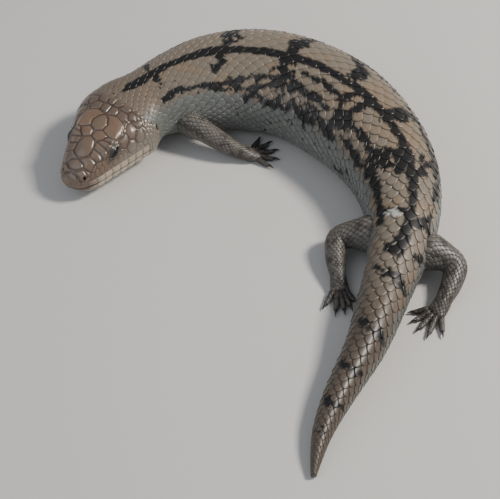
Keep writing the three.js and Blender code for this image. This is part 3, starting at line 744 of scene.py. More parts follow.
# %% Shields
MIDDLE = -0.9
SHIELDS_MIDDLE = {
    "rostral": [[-2, 0], [-2, 4.6], [1.9, 3.6], [2.6, 0]],
    "frontonasal": [[3.6, 0], [4.3, 2.6], [6.2, 4.6], [7.4, 3.6], [8.6, 0]],
    "frontal": [[9.3, 0], [10.2, 2.4], [12.0, 4.1], [15.8, 4.2], [19.4, 3.0], [20.7, 0]],
    "interparietal": [[24.4, 0], [25.8, 3.3], [29.0, 4.0], [32.6, 2.2], [34.0, 0]],
}
SHIELDS_PAIRED = {
    "nasal": [[2.9, 0.2], [2.3, 3.7], [1.6, 6.2], [4.6, 8.6], [5.6, 4.9], [3.9, 2.9]],
    "prefrontal": [[9.0, 0.2], [7.7, 3.8], [6.2, 5.2], [6.6, 8.9], [10.8, 9.2], [11.8, 5.2], [10.1, 2.5]],
    "supraocular_1": [[12.3, 4.7], [11.4, 6.6], [11.6, 9.4], [13.6, 11.4], [15.0, 9.0], [15.5, 4.8]],
    "supraocular_2": [[16.0, 4.8], [15.5, 9.2], [14.3, 12.2], [17.3, 12.8], [18.6, 9.2], [18.9, 4.2]],
    "supraocular_3": [[19.4, 4.6], [19.1, 9.3], [18.0, 12.9], [20.9, 12.8], [21.7, 9.4], [21.2, 6.6]],
    "supraocular_4": [[21.7, 6.9], [22.2, 9.4], [21.5, 12.8], [23.6, 12.9], [24.3, 10.4], [23.9, 8.2]],
    "frontoparietal": [[21.0, 0.2], [19.7, 4.2], [21.2, 6.2], [24.0, 7.6], [25.5, 3.6], [24.2, 0.8]],
    "parietal": [[25.9, 3.9], [24.4, 8.0], [24.4, 12.4], [28.2, 13.4], [33.6, 11.4], [35.6, 6.0],
                 [34.2, 0.6], [32.8, 2.7], [29.2, 4.5]],
    "nuchal_1": [[34.8, 0.2], [36.0, 4.6], [38.6, 4.8], [40.4, 3.2], [40.0, 0.2]],
    "nuchal_2": [[36.2, 5.0], [34.6, 9.8], [36.6, 11.4], [39.8, 9.2], [40.0, 5.6], [38.8, 5.2]],
    "nuchal_3": [[40.6, 0.2], [41.0, 3.4], [43.6, 4.6], [45.4, 2.4], [45.0, 0.2]],
    "nuchal_4": [[40.6, 4.0], [40.4, 8.8], [43.0, 9.6], [45.0, 7.4], [43.6, 5.0]],
    "nuchal_5": [[37.2, 11.8], [39.4, 14.6], [42.4, 13.2], [42.6, 10.2], [40.2, 9.6]],
    "postocular_1": [[24.8, 13.4], [24.0, 16.2], [26.0, 18.8], [29.6, 17.6], [30.4, 14.2], [28.0, 13.8]],
    "postocular_2": [[31.0, 14.2], [30.2, 17.6], [32.8, 19.6], [36.0, 17.6], [36.4, 12.6], [34.0, 12.4]],
    "temporal_1": [[26.4, 19.4], [26.8, 22.8], [30.0, 24.0], [32.2, 21.8], [32.0, 19.8], [29.8, 18.2]],
    "temporal_2": [[32.8, 20.2], [33.0, 22.8], [35.4, 24.4], [38.4, 22.4], [38.6, 19.4], [36.4, 18.2]],
    "temporal_3": [[36.8, 17.4], [37.0, 12.6], [38.8, 15.0], [41.8, 15.4], [42.2, 18.4], [39.2, 18.8]],
}


# %% [markdown]
# ## The line of the mouth
#
# The closed mouth is a line that rises gently towards its corner. It is known by its height over
# the floor, and the shields of the lips follow it, so heights are turned into distances round
# the head once, and read from that table afterwards.

# %% Mouth line
LEVEL_SAMPLES = 200


def mouth_level(s):
    """The height of the line of the mouth."""
    return 8.8 + 2.6 * (s / 37) ** 2


def around_at_level(s, level):
    """How far round the head, from its middle, a height is."""
    widest = smooth(STATIONS, WIDEST, s)
    back = smooth(STATIONS, BACK, s)
    belly = smooth(STATIONS, BELLY, s)
    upper = level >= widest
    rise = np.where(upper, back - widest, widest - belly)
    n = np.where(upper, smooth(STATIONS, CROWN, s), smooth(STATIONS, KEEL, s))
    share = np.minimum(np.abs(level - widest) / rise, 1)
    angle = np.arcsin(share ** (n / 2)) * np.where(upper, 1, -1)
    swing = math.pi / 2 - angle
    around = np.linspace(0, 1, LEVEL_SAMPLES)
    found = []
    for one, wanted in zip(np.atleast_1d(s), np.atleast_1d(swing)):
        girth = half_girth(one)
        turns_there = math.pi / 2 - angle_of(np.full(LEVEL_SAMPLES, one), around * girth)
        found.append(np.interp(wanted, turns_there, around * girth))
    return np.array(found)


LIP_AT = np.linspace(0.3, 44, 60)
LIP_AROUND = around_at_level(LIP_AT, mouth_level(LIP_AT))


def lip_around(s):
    """How far round the head the line of the mouth runs."""
    return np.interp(s, LIP_AT, LIP_AROUND)


print(f"the mouth runs {LIP_AROUND[-1]:.1f} mm round the head at its corner")

# %% [markdown]
# ## Shields of the lips
#
# A row of low shields runs along each lip. They are alike, so a loop lays them out between even
# steps along the mouth, a little taller towards the corner, and all shields go into one list for
# both sides of the head.

# %% Shields of the lips
LIP_SHIELDS = 8
SEAM_HALF = 0.12


def labials():
    """The shields along both lips."""
    found = {}
    edges = np.linspace(3.0, 38.0, LIP_SHIELDS + 1)
    for k in range(LIP_SHIELDS):
        a = edges[k] + SEAM_HALF
        b = edges[k + 1] - SEAM_HALF
        tall = 2.2 + 0.16 * k if k < 5 else 3.0
        upper = [[a, lip_around(a) - 0.5], [b, lip_around(b) - 0.5]]
        upper += [[b + 0.4, lip_around(b) - 0.7 - tall], [a + 0.4, lip_around(a) - 0.7 - tall]]
        lower = [[a, lip_around(a) + 0.5], [b, lip_around(b) + 0.5]]
        lower += [[b - 0.6, lip_around(b) + 3.4], [a - 0.6, lip_around(a) + 3.4]]
        found[f"upper_labial_{k}"] = upper
        found[f"lower_labial_{k}"] = lower
    return found


def all_shields():
    """Every shield of both sides as corners of distance along and distance round."""
    found = []
    for name, corners in SHIELDS_MIDDLE.items():
        left = [[s, a + MIDDLE] for s, a in corners]
        right = [[s, MIDDLE - a] for s, a in reversed(corners) if a > 0]
        found.append((name, np.array(left + right)))
    for name, corners in {**SHIELDS_PAIRED, **labials()}.items():
        shift = 0 if "labial" in name else MIDDLE
        for hand in (1, -1):
            found.append((name, np.array([[s, shift + hand * a] for s, a in corners])))
    return found


print(f"{len(all_shields())} shields on both sides of the head")


# %% [markdown]
# ## How far inside a shield
#
# The relief of a shield depends on how far inside its outline a place is. The nearest point of
# each edge gives the distance. A line from the place crosses the outline an odd number of times
# when the place is inside, and that gives the sign.


# %% Distance inside an outline
def inside_by(s, around, corners):
    """How far inside a shape each place is; less than zero outside it."""
    best = np.full(s.shape, 1e9)
    odd = np.zeros(s.shape, bool)
    for (s0, a0), (s1, a1) in zip(corners, np.roll(corners, -1, axis=0)):
        ds = s1 - s0
        da = a1 - a0
        t = np.clip(((s - s0) * ds + (around - a0) * da) / (ds * ds + da * da + 1e-12), 0, 1)
        best = np.minimum(best, np.hypot(s - s0 - t * ds, around - a0 - t * da))
        crosses = (a0 > around) != (a1 > around)
        where = s0 + (around - a0) * ds / np.where(np.abs(da) < 1e-9, 1e-9, da)
        odd ^= crosses & (s < where)
    return np.where(odd, best, -best)


# %% [markdown]
# ## Where the eyes, nostrils and ears are
#
# Each has a distance from the snout and an angle on the solid model's rings, so that the forms
# in the skin lie where the solids have theirs.

# %% Places of the eyes, nostrils and ears
EYE_AT = 20.5
EYE_RADIUS = 3.9
EYE_SINK = 2.9
EAR_AT = 51.5
NOSTRIL_AT = 3.4
ANGLE_SAMPLES = 400


def around_at_angle(s, degrees):
    """How far round, from the middle of the back, an angle of the solid model is."""
    around = np.linspace(0, 1, ANGLE_SAMPLES) * half_girth(s)
    swing = math.pi / 2 - angle_of(np.full(ANGLE_SAMPLES, s), around)
    return float(np.interp(math.pi / 2 - math.radians(degrees), swing, around))


EYE_AROUND = around_at_angle(EYE_AT, 40)
EAR_AROUND = around_at_angle(EAR_AT, 20)
NOSTRIL_AROUND = around_at_angle(NOSTRIL_AT, 44)
print(f"round the head: eye {EYE_AROUND:.1f}, ear {EAR_AROUND:.1f}, nostril {NOSTRIL_AROUND:.1f} mm")

# %% [markdown]
# ## The small plates of the head
#
# Between and behind the large shields lie many small, uneven plates. Placing each by hand gains
# little, so they come from a shaken lattice: each place belongs to its nearest middle, and the
# seams run where two middles are equally near.

# %% Small plates
PLATE = 2.9
PLATE_ROW = 0.87
SHAKE = 0.26


def small_plates(s, around):
    """Distance from the seams of the uneven small plates that fill the rest of the head."""
    row = np.floor(s / (PLATE * PLATE_ROW))
    best = np.full(s.shape, 1e9)
    second = np.full(s.shape, 1e9)
    for dr in (-1, 0, 1):
        r = row + dr
        column = np.floor(around / PLATE - 0.5 * (r % 2))
        for dc in (-1, 0, 1):
            c = column + dc
            shake_s = SHAKE * (lattice(r, c, 31) - 0.5)
            shake_a = SHAKE * (lattice(r, c, 32) - 0.5)
            cs = (r + 0.5 + shake_s) * PLATE * PLATE_ROW
            ca = (c + 0.5 + 0.5 * (r % 2) + shake_a) * PLATE
            gap = np.hypot(s - cs, around - ca)
            second = np.minimum(second, np.maximum(best, gap))
            best = np.minimum(best, gap)
    return (second - best) / 2


# %% [markdown]
# ## Shields and small plates together
#
# A place inside a large shield takes its height from that shield. Elsewhere it takes the height
# of a small plate, which is lower. At the tip of the snout the relief levels out, because the
# rings that close it are too small for seams.

# %% Relief of the head
SNOUT_RELIEF = 0.5
FILLER, SHIELD, LABIAL, WARM_SHIELD = range(4)


def head_relief(s, around):
    """Height over the plain head, the distance from a seam and what each place is part of."""
    inside = np.full(s.shape, -1e9)
    kind = np.full(s.shape, FILLER)
    for name, corners in all_shields():
        near = (s > corners[:, 0].min() - 2) & (s < corners[:, 0].max() + 2)
        near &= (around > corners[:, 1].min() - 2) & (around < corners[:, 1].max() + 2)
        if not near.any():
            continue
        depth = inside_by(s[near], around[near], corners)
        better = depth > inside[near]
        spot = np.flatnonzero(near)[better]
        inside[spot] = depth[better]
        kind[spot] = LABIAL if "labial" in name else SHIELD
        if name in ("parietal", "frontoparietal"):
            kind[spot] = WARM_SHIELD
    free = inside < -0.25
    seam = np.where(free, np.minimum(small_plates(s, around), -inside - 0.1), inside)
    kind = np.where(free, FILLER, kind)
    height = 0.55 * step(0.0, 0.62, seam) + 0.25 * step(0.4, 3.4, seam) - 0.12
    height = np.where(free, height * 0.62, height)
    height = SNOUT_RELIEF + (height - SNOUT_RELIEF) * step(0.3, 1.6, s)
    return height, seam, kind


# %% [markdown]
# ## The mouth
#
# The mouth is shut: a fine groove between two low lips, painted dark inside as shade. Near the
# snout the line turns across the head, and there it is found by its height over the floor.
# Further back it is found by distance round the head, where it runs on and fades out at the
# corner.

# %% Mouth
MOUTH_WIDTH = 0.30
MOUTH_CORNER = (37.0, 41.0)


def mouth_form(s, side, level):
    """Height of the groove and its lips, and the painted shade in the groove."""
    front = 1 - step(1.0, 2.6, s)
    off = (side - lip_around(s)) * (1 - front) + (mouth_level(s) - level) * front
    height = -0.75 * np.exp(-((off / MOUTH_WIDTH) ** 2))
    height += 0.30 * np.exp(-(((off + 1.2) / 0.9) ** 2))
    height += 0.22 * np.exp(-(((off - 1.2) / 1.0) ** 2))
    # Painted shade: the groove of the mouth is darkened.
    dark = 0.85 * np.exp(-((off / 0.26) ** 2))
    mouth = 1 - step(*MOUTH_CORNER, s)
    return mouth * height, mouth * dark


# %% [markdown]
# ## Lids, nostrils and ears
#
# An eye looks out of a narrow slit under a low brow. The lids could be pieces of their own, but
# then their edges would show on the cheek. Here the skin swells over the eyeball, sinks deep
# inside the slit so that the ball shows, and is folded round it. Nostrils and ears are pits with
# a soft rim. The slit, the fold, the skin close round the eye and the pits are painted dark as
# shade.

# %% Lids, nostrils and ears
LID_THICKNESS = 0.45
SLIT_DEPTH = 3.1


def bell(x, width):
    """A soft hump of one unit's height."""
    return np.exp(-((x / width) ** 2))


def eye_form(s, side):
    """Height, painted shade and smoothness of the lids, the slit, the fold and the brow."""
    x = s - EYE_AT
    y = EYE_AROUND - side
    reach = np.hypot(x, y)
    ball = np.sqrt(np.clip(EYE_RADIUS**2 - reach**2, 0, None)) - EYE_SINK + LID_THICKNESS
    cover = np.maximum(ball, 0) * (1 - step(3.0, 4.6, reach))
    lift = np.where(reach < 4.6, np.maximum(cover, 0.55 * (1 - step(2.6, 4.9, reach))), 0)
    curve = y + 0.12 * x**2 / 2.9 * np.sign(y)
    slit = np.hypot((x - 0.2) / 3.0, (curve + 0.25) / 0.80)
    open_eye = 1 - step(0.80, 1.04, slit)
    rim = bell(slit - 1.28, 0.22) * (reach < 5)
    fold = bell(slit - 1.95, 0.18) * (reach < 5.6)
    brow = bell(y - 3.4, 1.6) * bell(x, 6.5)
    hollow = bell(y + 3.6, 1.6) * bell(x, 5.5)
    height = lift + 0.30 * rim - 0.20 * fold - SLIT_DEPTH * open_eye + 1.15 * brow - 0.5 * hollow
    # Painted shade: the slit, the fold and the skin close round the eye are darkened, as under the brow.
    dark = 0.95 * open_eye + 0.55 * fold + 0.35 * (1 - step(2.6, 4.4, np.hypot(x, y * 1.3)))
    return height, dark, 1 - step(3.4, 5.0, np.hypot(x, y * 1.25))


def nostril_form(s, side):
    """Height of the nostril and the painted shade in its pit."""
    hole = np.hypot(s - NOSTRIL_AT, side - NOSTRIL_AROUND)
    height = 0.22 * bell(hole - 1.3, 0.4) - 1.3 * (1 - step(0.35, 0.95, hole))
    # Painted shade in the pit of the nostril.
    return height, 0.95 * (1 - step(0.3, 0.85, hole))


def ear_form(s, side):
    """Height, painted shade and smoothness of the ear's opening."""
    ear = np.hypot((s - EAR_AT) / 1.25, (side - EAR_AROUND) / 2.3)
    height = 0.35 * bell(ear - 1.35, 0.3) - 2.2 * (1 - step(0.45, 1.05, ear))
    # Painted shade in the pit of the ear.
    return height, 0.95 * (1 - step(0.5, 1.0, ear)), 1 - step(1.1, 1.7, ear)


def head_features(s, around):
    """All of these forms: height, a share of painted shade and a share without shields."""
    side = np.abs(around)
    level = trunk(s, around, np.zeros(s.shape))[:, 2]
    mouth, mouth_groove_shade = mouth_form(s, side, level)
    eye, eye_painted_shade, eye_flat = eye_form(s, side)
    nostril, nostril_pit_shade = nostril_form(s, side)
    ear, ear_pit_shade, ear_flat = ear_form(s, side)
    # Painted shade of the groove, the eye and the pits, added together.
    dark = mouth_groove_shade + eye_painted_shade + nostril_pit_shade + ear_pit_shade
    return mouth + eye + nostril + ear, np.clip(dark, 0, 1), np.clip(eye_flat + ear_flat, 0, 1)


# %% [markdown]
# ## The skin
#
# One grid runs from the snout to the tail's tip. A body shaped from a few large faces and then
# subdivided would lose the fine seams of the head. So its rows are close together on the head,
# where they carry the shields, and far apart on the body, where scales will cover them.

# %% Rows of the skin
COLUMNS = 320
HEAD_END = 56.5
# Painted shade: the skin under the body's scales is darkened to this share, as the gaps are shaded.
GAP_SHADE_UNDER_SCALES = 0.42
head_rows = np.concatenate([[0.05, 0.25, 0.5, 0.75, 1.0], np.arange(1.3, 56, 0.34)])
body_rows = np.arange(57, LENGTH - 1, 2.7)
end_rows = np.array([LENGTH - 1.2, LENGTH - 0.6, LENGTH - 0.1])
skin_rows = np.concatenate([head_rows, body_rows, end_rows])
print(f"{len(skin_rows)} rows of {COLUMNS} points")

# %% [markdown]
# ## The tip of the snout
#
# A grid of rings leaves a hole at its end. A single fan of faces would show as a star, so a few
# smaller rings close the snout first, with a little bulge, and the mouth's groove runs on across
# them.

# %% Tip of the snout
SNOUT_SHARES = np.array([0.04, 0.3, 0.6, 0.85])
SNOUT_BULGE = 0.45


def snout_cap(s, around):
    """Rings that close the snout's tip, and the painted shade of the mouth's groove on them. The first is
    a point.
    """
    ring = trunk(s, around, np.full(s.shape, SNOUT_RELIEF))
    middle = ring.mean(0)
    turn = math.radians(float(smooth(STATIONS, HEADING, np.zeros(1))[0]))
    forward = -np.array([math.cos(turn), math.sin(turn), 0])
    bulge = SNOUT_BULGE * float(np.ptp(ring[:, 2])) / 2
    rings = []
    dark = []
    for share in [0.0, *SNOUT_SHARES]:
        points = middle + (ring - middle) * share + forward * bulge * (1 - share**2)
        off = (points[:, 2] - mouth_level(0.0)) / MOUTH_WIDTH
        rings.append(points - forward * 0.6 * np.exp(-(off**2))[:, None])
        # Painted shade of the mouth's groove across the snout's rings.
        dark.append(0.85 * np.exp(-((off * 1.15) ** 2)))
    return np.vstack(rings), np.concatenate(dark)


# %% [markdown]
# ## The colour of the head
#
# The shields are brown, those in the middle warmer, with dark seams that fade towards the cheek.
# Lips and throat are pale, and the skin round the eye is grey, deepened as painted shade under
# the hooded brow. Each is laid over the last as a share from 0 to 1, as thin washes of paint
# are.


# %% Head colour
def head_colour(s, around, seam, kind, dark, flat):
    """The colour at each place of the head."""
    tone = noise(s / 5.5, around / 5.0, 8)
    side = np.abs(around)
    below = side - lip_around(s)
    top = blend(HEAD_BROWN, HEAD_WARM, np.where(kind == WARM_SHIELD, 0.6, 0.12 + 0.2 * tone))
    nape = step(33.5, 37, s) * (1 - step(46, 52, s)) * step(-0.5, 0.6, tone + 0.3)
    top = blend(top, DUSK, 0.45 * nape)
    cheek = blend(blend(HEAD_BROWN, LIP, 0.45), GREY, 0.35)
    tint = blend(top, cheek, step(15, 24, side))
    tint = blend(tint, LIP, (kind == LABIAL) * step(1.5, 12.0, s + 2 * tone))
    tint = blend(tint, PALE, step(0.2, 3.5, below) * step(0.5, 6, s))
    # The lids' own grey, deepened as painted shade under the brow.
    lid = np.hypot(s - EYE_AT + 0.6, (side - EYE_AROUND) * 1.25)
    tint = blend(tint, EYELID_GREY_AND_SHADE, 0.75 * (1 - step(2.2, 6.4, lid + 0.8 * tone)))
    tint = tint * (1 + 0.10 * tone)[..., None]
    gap = (1 - step(0.02, 0.22, seam)) * (1 - flat) * step(0.3, 1.6, s)
    tint = blend(tint, SEAM, gap * (0.85 - 0.50 * step(0.30, 0.52, side / half_girth(s))))
    # Painted shade of the mouth's groove, the eye and the pits of nostrils and ears.
    return blend(tint, BLACK, dark)


# %% [markdown]
# ## Putting the skin together
#
# The rows, the snout's rings and one point at each end become one closed mesh. Relief and colour
# of the head fade into the plain body behind it, which is painted darker there as shade, because
# only the gaps between the scales will show it.

# %% Points of the skin
MAP_LENGTH = 400
MAP_LOW = 0.05
MAP_HIGH = 0.95


def skin_points():
    """Points and colours of the skin, without the point at each end."""
    shares = np.linspace(-1, 1, COLUMNS + 1)[:-1]
    s = np.repeat(skin_rows, COLUMNS)
    around = np.tile(shares, len(skin_rows)) * half_girth(s)
    on_head = s < HEAD_END
    hs = s[on_head]
    ha = around[on_head]
    relief, seam, kind = head_relief(hs, ha)
    feature, dark, flat = head_features(hs, ha)
    height = np.zeros(s.shape)
    height[on_head] = relief * (1 - flat) * (1 - step(50, 56, hs)) + feature
    plain = np.zeros(s.shape)
    # Painted shade: the skin is darkened where it shows in the gaps between the scales.
    colours = trunk_colour(s, around, plain, plain) * GAP_SHADE_UNDER_SCALES
    head = head_colour(hs, ha, seam, kind, dark, flat)
    colours[on_head] = blend(head, colours[on_head], step(51, 56, hs))
    rings, snout_groove_shade = snout_cap(s[:COLUMNS], around[:COLUMNS])
    # Painted shade of the mouth's groove on the snout's rings.
    ring_tint = blend(np.tile(colours[:COLUMNS].mean(0), (len(snout_groove_shade), 1)), BLACK, snout_groove_shade)
    points = np.vstack([rings[COLUMNS:], trunk(s, around, height)])
    colours = np.vstack([ring_tint[COLUMNS:], colours])
    return points, colours, rings[:COLUMNS].mean(0), ring_tint[:COLUMNS].mean(0)


# %% [markdown]
# ## The map of the skin
#
# The map is the skin unrolled into a strip. Where the grid closes on itself, the faces of the last
# column get corners of their own at the strip's edge. Without them the whole strip would be
# squeezed into that column.


# %% Map and ends of the skin
def strip_map(rows, quads):
    """A place on the map for each corner of the grid's faces."""
    u = np.repeat(rows, COLUMNS)
    v = np.tile(np.linspace(MAP_LOW, MAP_HIGH, COLUMNS + 1)[:-1], len(rows))
    corners = np.stack([u, v], -1)[quads.ravel()].reshape(-1, 4, 2)
    wraps = corners[:, 1, 1] < corners[:, 0, 1]
    corners[wraps, 1:3, 1] = MAP_HIGH
    return corners.reshape(-1, 2)


def end_faces(count):
    """Faces from the first and the last ring to the points that close them, and their map."""
    snout = count
    tip = count + 1
    last_ring = count - COLUMNS
    faces = []
    places = []
    for k in range(0, COLUMNS, 2):
        middle = k + 1
        after = (k + 2) % COLUMNS
        across = MAP_LOW + (MAP_HIGH - MAP_LOW) * k / COLUMNS
        faces.append([snout, after, middle, k])
        faces.append([tip, last_ring + k, last_ring + middle, last_ring + after])
        places += [[0.001, across]] * 4 + [[0.974, across]] * 4
    return np.array(faces), np.array(places)


def build_skin():
    """The whole skin of head, body and tail."""
    points, colours, snout_point, snout_tint = skin_points()
    rows = np.concatenate([0.0001 * SNOUT_SHARES, skin_rows / MAP_LENGTH])
    quads = grid_quads(len(rows), COLUMNS, True)
    corners = strip_map(rows, quads)
    faces, places = end_faces(len(points))
    tip_point = points[-COLUMNS:].mean(0)
    points = np.vstack([points, snout_point, tip_point])
    colours = np.vstack([colours, snout_tint, colours[-1]])
    quads = np.vstack([quads, faces])
    return mesh_object("skin", points, quads, colours, np.vstack([corners, places]), HEAD_HORN)


skin = build_skin()
print(f"skin: {len(skin.data.polygons)} faces")

# %% [markdown]
# ## Scales of the body
#
# The rows run round the body. Each row is shifted by half a scale from the one before, and the
# scales get smaller on the flanks, the neck and the tail. Laying them by hand would take days,
# so a loop walks from the neck to the tail and from the back to the belly, and leaves the ear
# free. The last scale of a row is trimmed where both sides meet.

# %% Sizes of the body's scales
PITCH = np.array([[40, 3.4], [52, 3.8], [70, 4.3], [95, 5.3], [130, 6.1], [180, 6.3], [225, 6.0],
                  [262, 6.2], [300, 5.6], [340, 4.4], [368, 2.9], [390, 1.3]])
ROW_STEP = 0.66
ROWS_LONG = 2.3
SCALES_FROM = 38.0
HALF_SCALE = 0.58
SHRINK_FROM = 0.42
SIDE_SHARES = {1: 0.66, -1: 0.84}
RNG = np.random.default_rng(7)


def pitch(s):
    """The width of a scale of the back."""
    return np.interp(s, PITCH[:, 0], PITCH[:, 1])


def first_scale(around):
    """How far back the body's scales start, at each distance round."""
    side = np.abs(around)
    return np.interp(side, [0, 8, 15, 20, 27, 36, 45], [45.0, 44.0, 42.5, 45.5, 54.5, 50, 42])


def near_ear(s, around):
    """Whether a scale would cover the ear."""
    return math.hypot((s + 1.2 - EAR_AT) / 3.1, (around - EAR_AROUND) / 3.0) < 1


# %% [markdown]
# ## Rows of the body's scales
#
# A row starts at the middle of the back, where its scales are widest, and goes down each side to
# the belly with smaller ones. A scale is kept as four numbers, its place, its length and its
# width, and a random tone, so that no two look quite alike.


# %% Rows of the body's scales
def scale_row(s, row, hand):
    """One side of a row, from the middle of the back to the middle of the belly."""
    size = pitch(s)
    girth = float(min(half_girth(s), half_girth(s + 1.2 * size)))
    shrink = girth * SHRINK_FROM
    side_share = SIDE_SHARES[hand]
    column = 0.5 if row % 2 else (0 if hand > 0 else 1)
    around = column * size
    found = []
    while around < girth + size * 0.2:
        local = size * (1 if around < shrink else side_share)
        inner = around - HALF_SCALE * local
        outer = min(around + HALF_SCALE * local, girth)
        left_out = s < first_scale(around) or near_ear(s, around)
        if not left_out and outer - inner > 0.3 * local:
            found.append([s, hand * (inner + outer) / 2, size * ROW_STEP * ROWS_LONG, outer - inner])
        column += 1
        past = max(column * size - shrink, 0)
        around = column * size - past * (1 - side_share)
    return found


def body_roots():
    """The place, length, width and tone of every scale of the trunk and tail."""
    found = []
    s = SCALES_FROM
    row = 0
    while s < LENGTH - 1.0:
        for hand in (1, -1):
            found += scale_row(s, row, hand)
        s += pitch(s) * ROW_STEP
        row += 1
    roots = np.array(found)
    roots[:, 0] -= 0.35 * roots[:, 2]
    tone = RNG.uniform(-1, 1, len(roots))
    return np.column_stack([roots, tone])


# %% [markdown]
# ## Covering the body
#
# The scales of the back are flat, shiny and closely laid. Their rim and skirt are painted darker
# as the shade in the gaps between them. The plate says how one is drawn: its points across and
# along, how pointed it is, how far its rear edge is lifted, how much it is domed and swells, how
# deep its skirt is, how dark the painted gap shade on its edge is, how ragged it makes a marking,
# and how much less of that painted shade it has on the flanks. The scales are divided into
# lengths of the body, so that no object has too many faces.

# %% Body scales
# Painted shade: the edge value sets how dark the painted gap shade on a scale's rim and skirt is.
BODY_PLATE = {"across": 7, "along": 8, "point": 1.45, "lift": 0.82, "dome": 0.17, "swell": 0.10,
              "skirt": 0.50, "edge": 0.46, "ragged": 0.75, "less_gap_shade_on_flanks": 0.45}


def body_uv(along, around):
    """The place of a scale's root on the unrolled strip of the body."""
    return along / MAP_LENGTH, 0.5 + 0.45 * around / half_girth(along)


roots = body_roots()
CUTS = [0, 96, 133, 170, 210, 255, 320, 400]
for first, last in zip(CUTS[:-1], CUTS[1:]):
    chosen = roots[(roots[:, 0] >= first) & (roots[:, 0] < last)]
    lay_scales(f"scales_{first}", trunk, chosen, trunk_colour, SCALE_HORN, BODY_PLATE, body_uv)
print(f"body: {len(roots)} scales")

# %% [markdown]
# ## Legs
#
# The legs are short and lie along the body. Each is one tube, along a smooth curve from inside
# the body to the wrist or ankle and on through the flat palm. Separate pieces for thigh, shin
# and foot would show their joins. The table gives each joint in the body's own directions, so
# the legs follow when the spine's curve is changed.

# %% Legs
FINGERS = ([4.4, 6.2, 6.8, 6.2, 4.6], 1.35)
TOES = ([4.6, 6.8, 8.4, 9.0, 6.2], 1.4)
LEGS = {
    # root along the spine; joints as back, out, up and radius; palm; digits and their directions
    "foreleg_left": (77, [[-3, 11, 14, 6.2], [2, 24, 12.5, 5.4], [8.5, 33.5, 9.2, 4.8],
                          [13.5, 39.5, 6.6, 4.2], [18.5, 43.5, 4.4, 3.4]],
                     (8, 4.1, 2.1, 24), FINGERS, [54, 27, 3, -20, -46]),
    "foreleg_right": (77, [[-3, -11, 13.5, 6.2], [3, -20.5, 12, 5.4], [11, -27.5, 9, 4.8],
                           [20, -27, 6.4, 4.2], [28, -25, 4.4, 3.4]],
                      (8, 4.1, 2.1, 10), FINGERS, [-34, -16, 0, 18, 40]),
    "hindleg_left": (261, [[-2, 4, 12.5, 7.6], [-2.5, 16, 11.8, 7.0], [0, 28.5, 8.8, 5.5],
                           [9, 29, 6.6, 4.6], [19, 26, 4.4, 3.5]],
                     (9, 4.2, 2.2, 0), TOES, [30, 15, 2, -12, -34]),
    "hindleg_right": (261, [[3, -4, 12.5, 7.6], [2.5, -16, 11.8, 7.0], [5, -26.5, 8.8, 5.6],
                            [14, -27, 6.6, 4.8], [23.5, -24.5, 4.4, 3.7]],
                      (9, 4.3, 2.2, -8), TOES, [-46, -24, -6, 12, 36]),
}
print("legs:", ", ".join(LEGS))

# %% [markdown]
# ## A tube with its own width and height
#
# A curve with a round bevel is the quick way to a tube, but a palm is flatter than it is wide,
# and the scales need to ask for any place on the limb. So a tube here is a curve with a half
# width and a half height at each place, and a way to find a point over its skin.

# %% Curve of a limb
PLACES_EACH = 40
PROBE = 0.4


def curve_through(points):
    """A smooth curve through points, as many close places along it."""
    points = np.asarray(points, float)
    before = 2 * points[0] - points[1]
    after = 2 * points[-1] - points[-2]
    run = np.vstack([before, points, after])
    places = []
    for i in range(len(points) - 1):
        p0, p1, p2, p3 = run[i : i + 4]
        for t in np.linspace(0, 1, PLACES_EACH, endpoint=False):
            m1 = (p2 - p0) / 2
            m2 = (p3 - p1) / 2
            a = 2 * t**3 - 3 * t**2 + 1
            b = t**3 - 2 * t**2 + t
            places.append(a * p1 + b * m1 + (1 - a) * p2 + (t**3 - t**2) * m2)
    places.append(points[-1])
    return np.array(places)


# %% [markdown]
# ## Points over a tube
#
# The tube knows its middle at each distance along it, and so the way it travels there. Sideways
# and upwards follow from that way, and a turn round the tube gives the point.


# %% Tube
class Tube:
    """A limb or digit: a curve with a half width and a half height at each place."""

    def __init__(self, places, wide, tall):
        self.places = places
        steps = np.linalg.norm(np.diff(places, axis=0), axis=1)
        self.along = np.concatenate([[0], np.cumsum(steps)])
        self.length = self.along[-1]
        self.wide = wide
        self.tall = tall

    def at(self, d):
        """The middle of the tube at a distance along it."""
        return np.stack([np.interp(d, self.along, self.places[:, k]) for k in range(3)], -1)

    def radius(self, d):
        """The mean of the half width and the half height at a distance along it."""
        return np.interp(d, self.along, (self.wide + self.tall) / 2)

    def place(self, d, turn, height):
        """A point at a distance along, a turn round it (0 up) and a height over its skin."""
        d = np.clip(d, 0, self.length)
        centre = self.at(d)
        travel = self.at(np.clip(d + PROBE, 0, self.length)) - self.at(np.clip(d - PROBE, 0, self.length))
        travel /= np.linalg.norm(travel, axis=-1, keepdims=True)
        side = np.cross(travel, np.array([0.0, 0.0, 1.0]))
        side /= np.linalg.norm(side, axis=-1, keepdims=True)
        up = np.cross(side, travel)
        wide = np.interp(d, self.along, self.wide)
        tall = np.interp(d, self.along, self.tall)
        point = centre + side * ((wide + height) * np.sin(turn))[..., None]
        point = point + up * ((tall + height) * np.cos(turn))[..., None]
        point[..., 2] = over_floor(point[..., 2], LIMB_SOFTNESS)
        return point

    def surface(self, d, around, height):
        """The same with a distance round the tube, as the scales ask for it."""
        return self.place(d, around / self.radius(d), height)


# %% [markdown]
# ## Skin and scales of the limbs
#
# All the bare skin of the limbs is gathered into one mesh, because one object can stand for all
# their solids. It is painted darker than the scales on it, as shade, so the gaps between them
# read as shaded folds. The scales run in shifted rows as on the body, smaller and rounder.


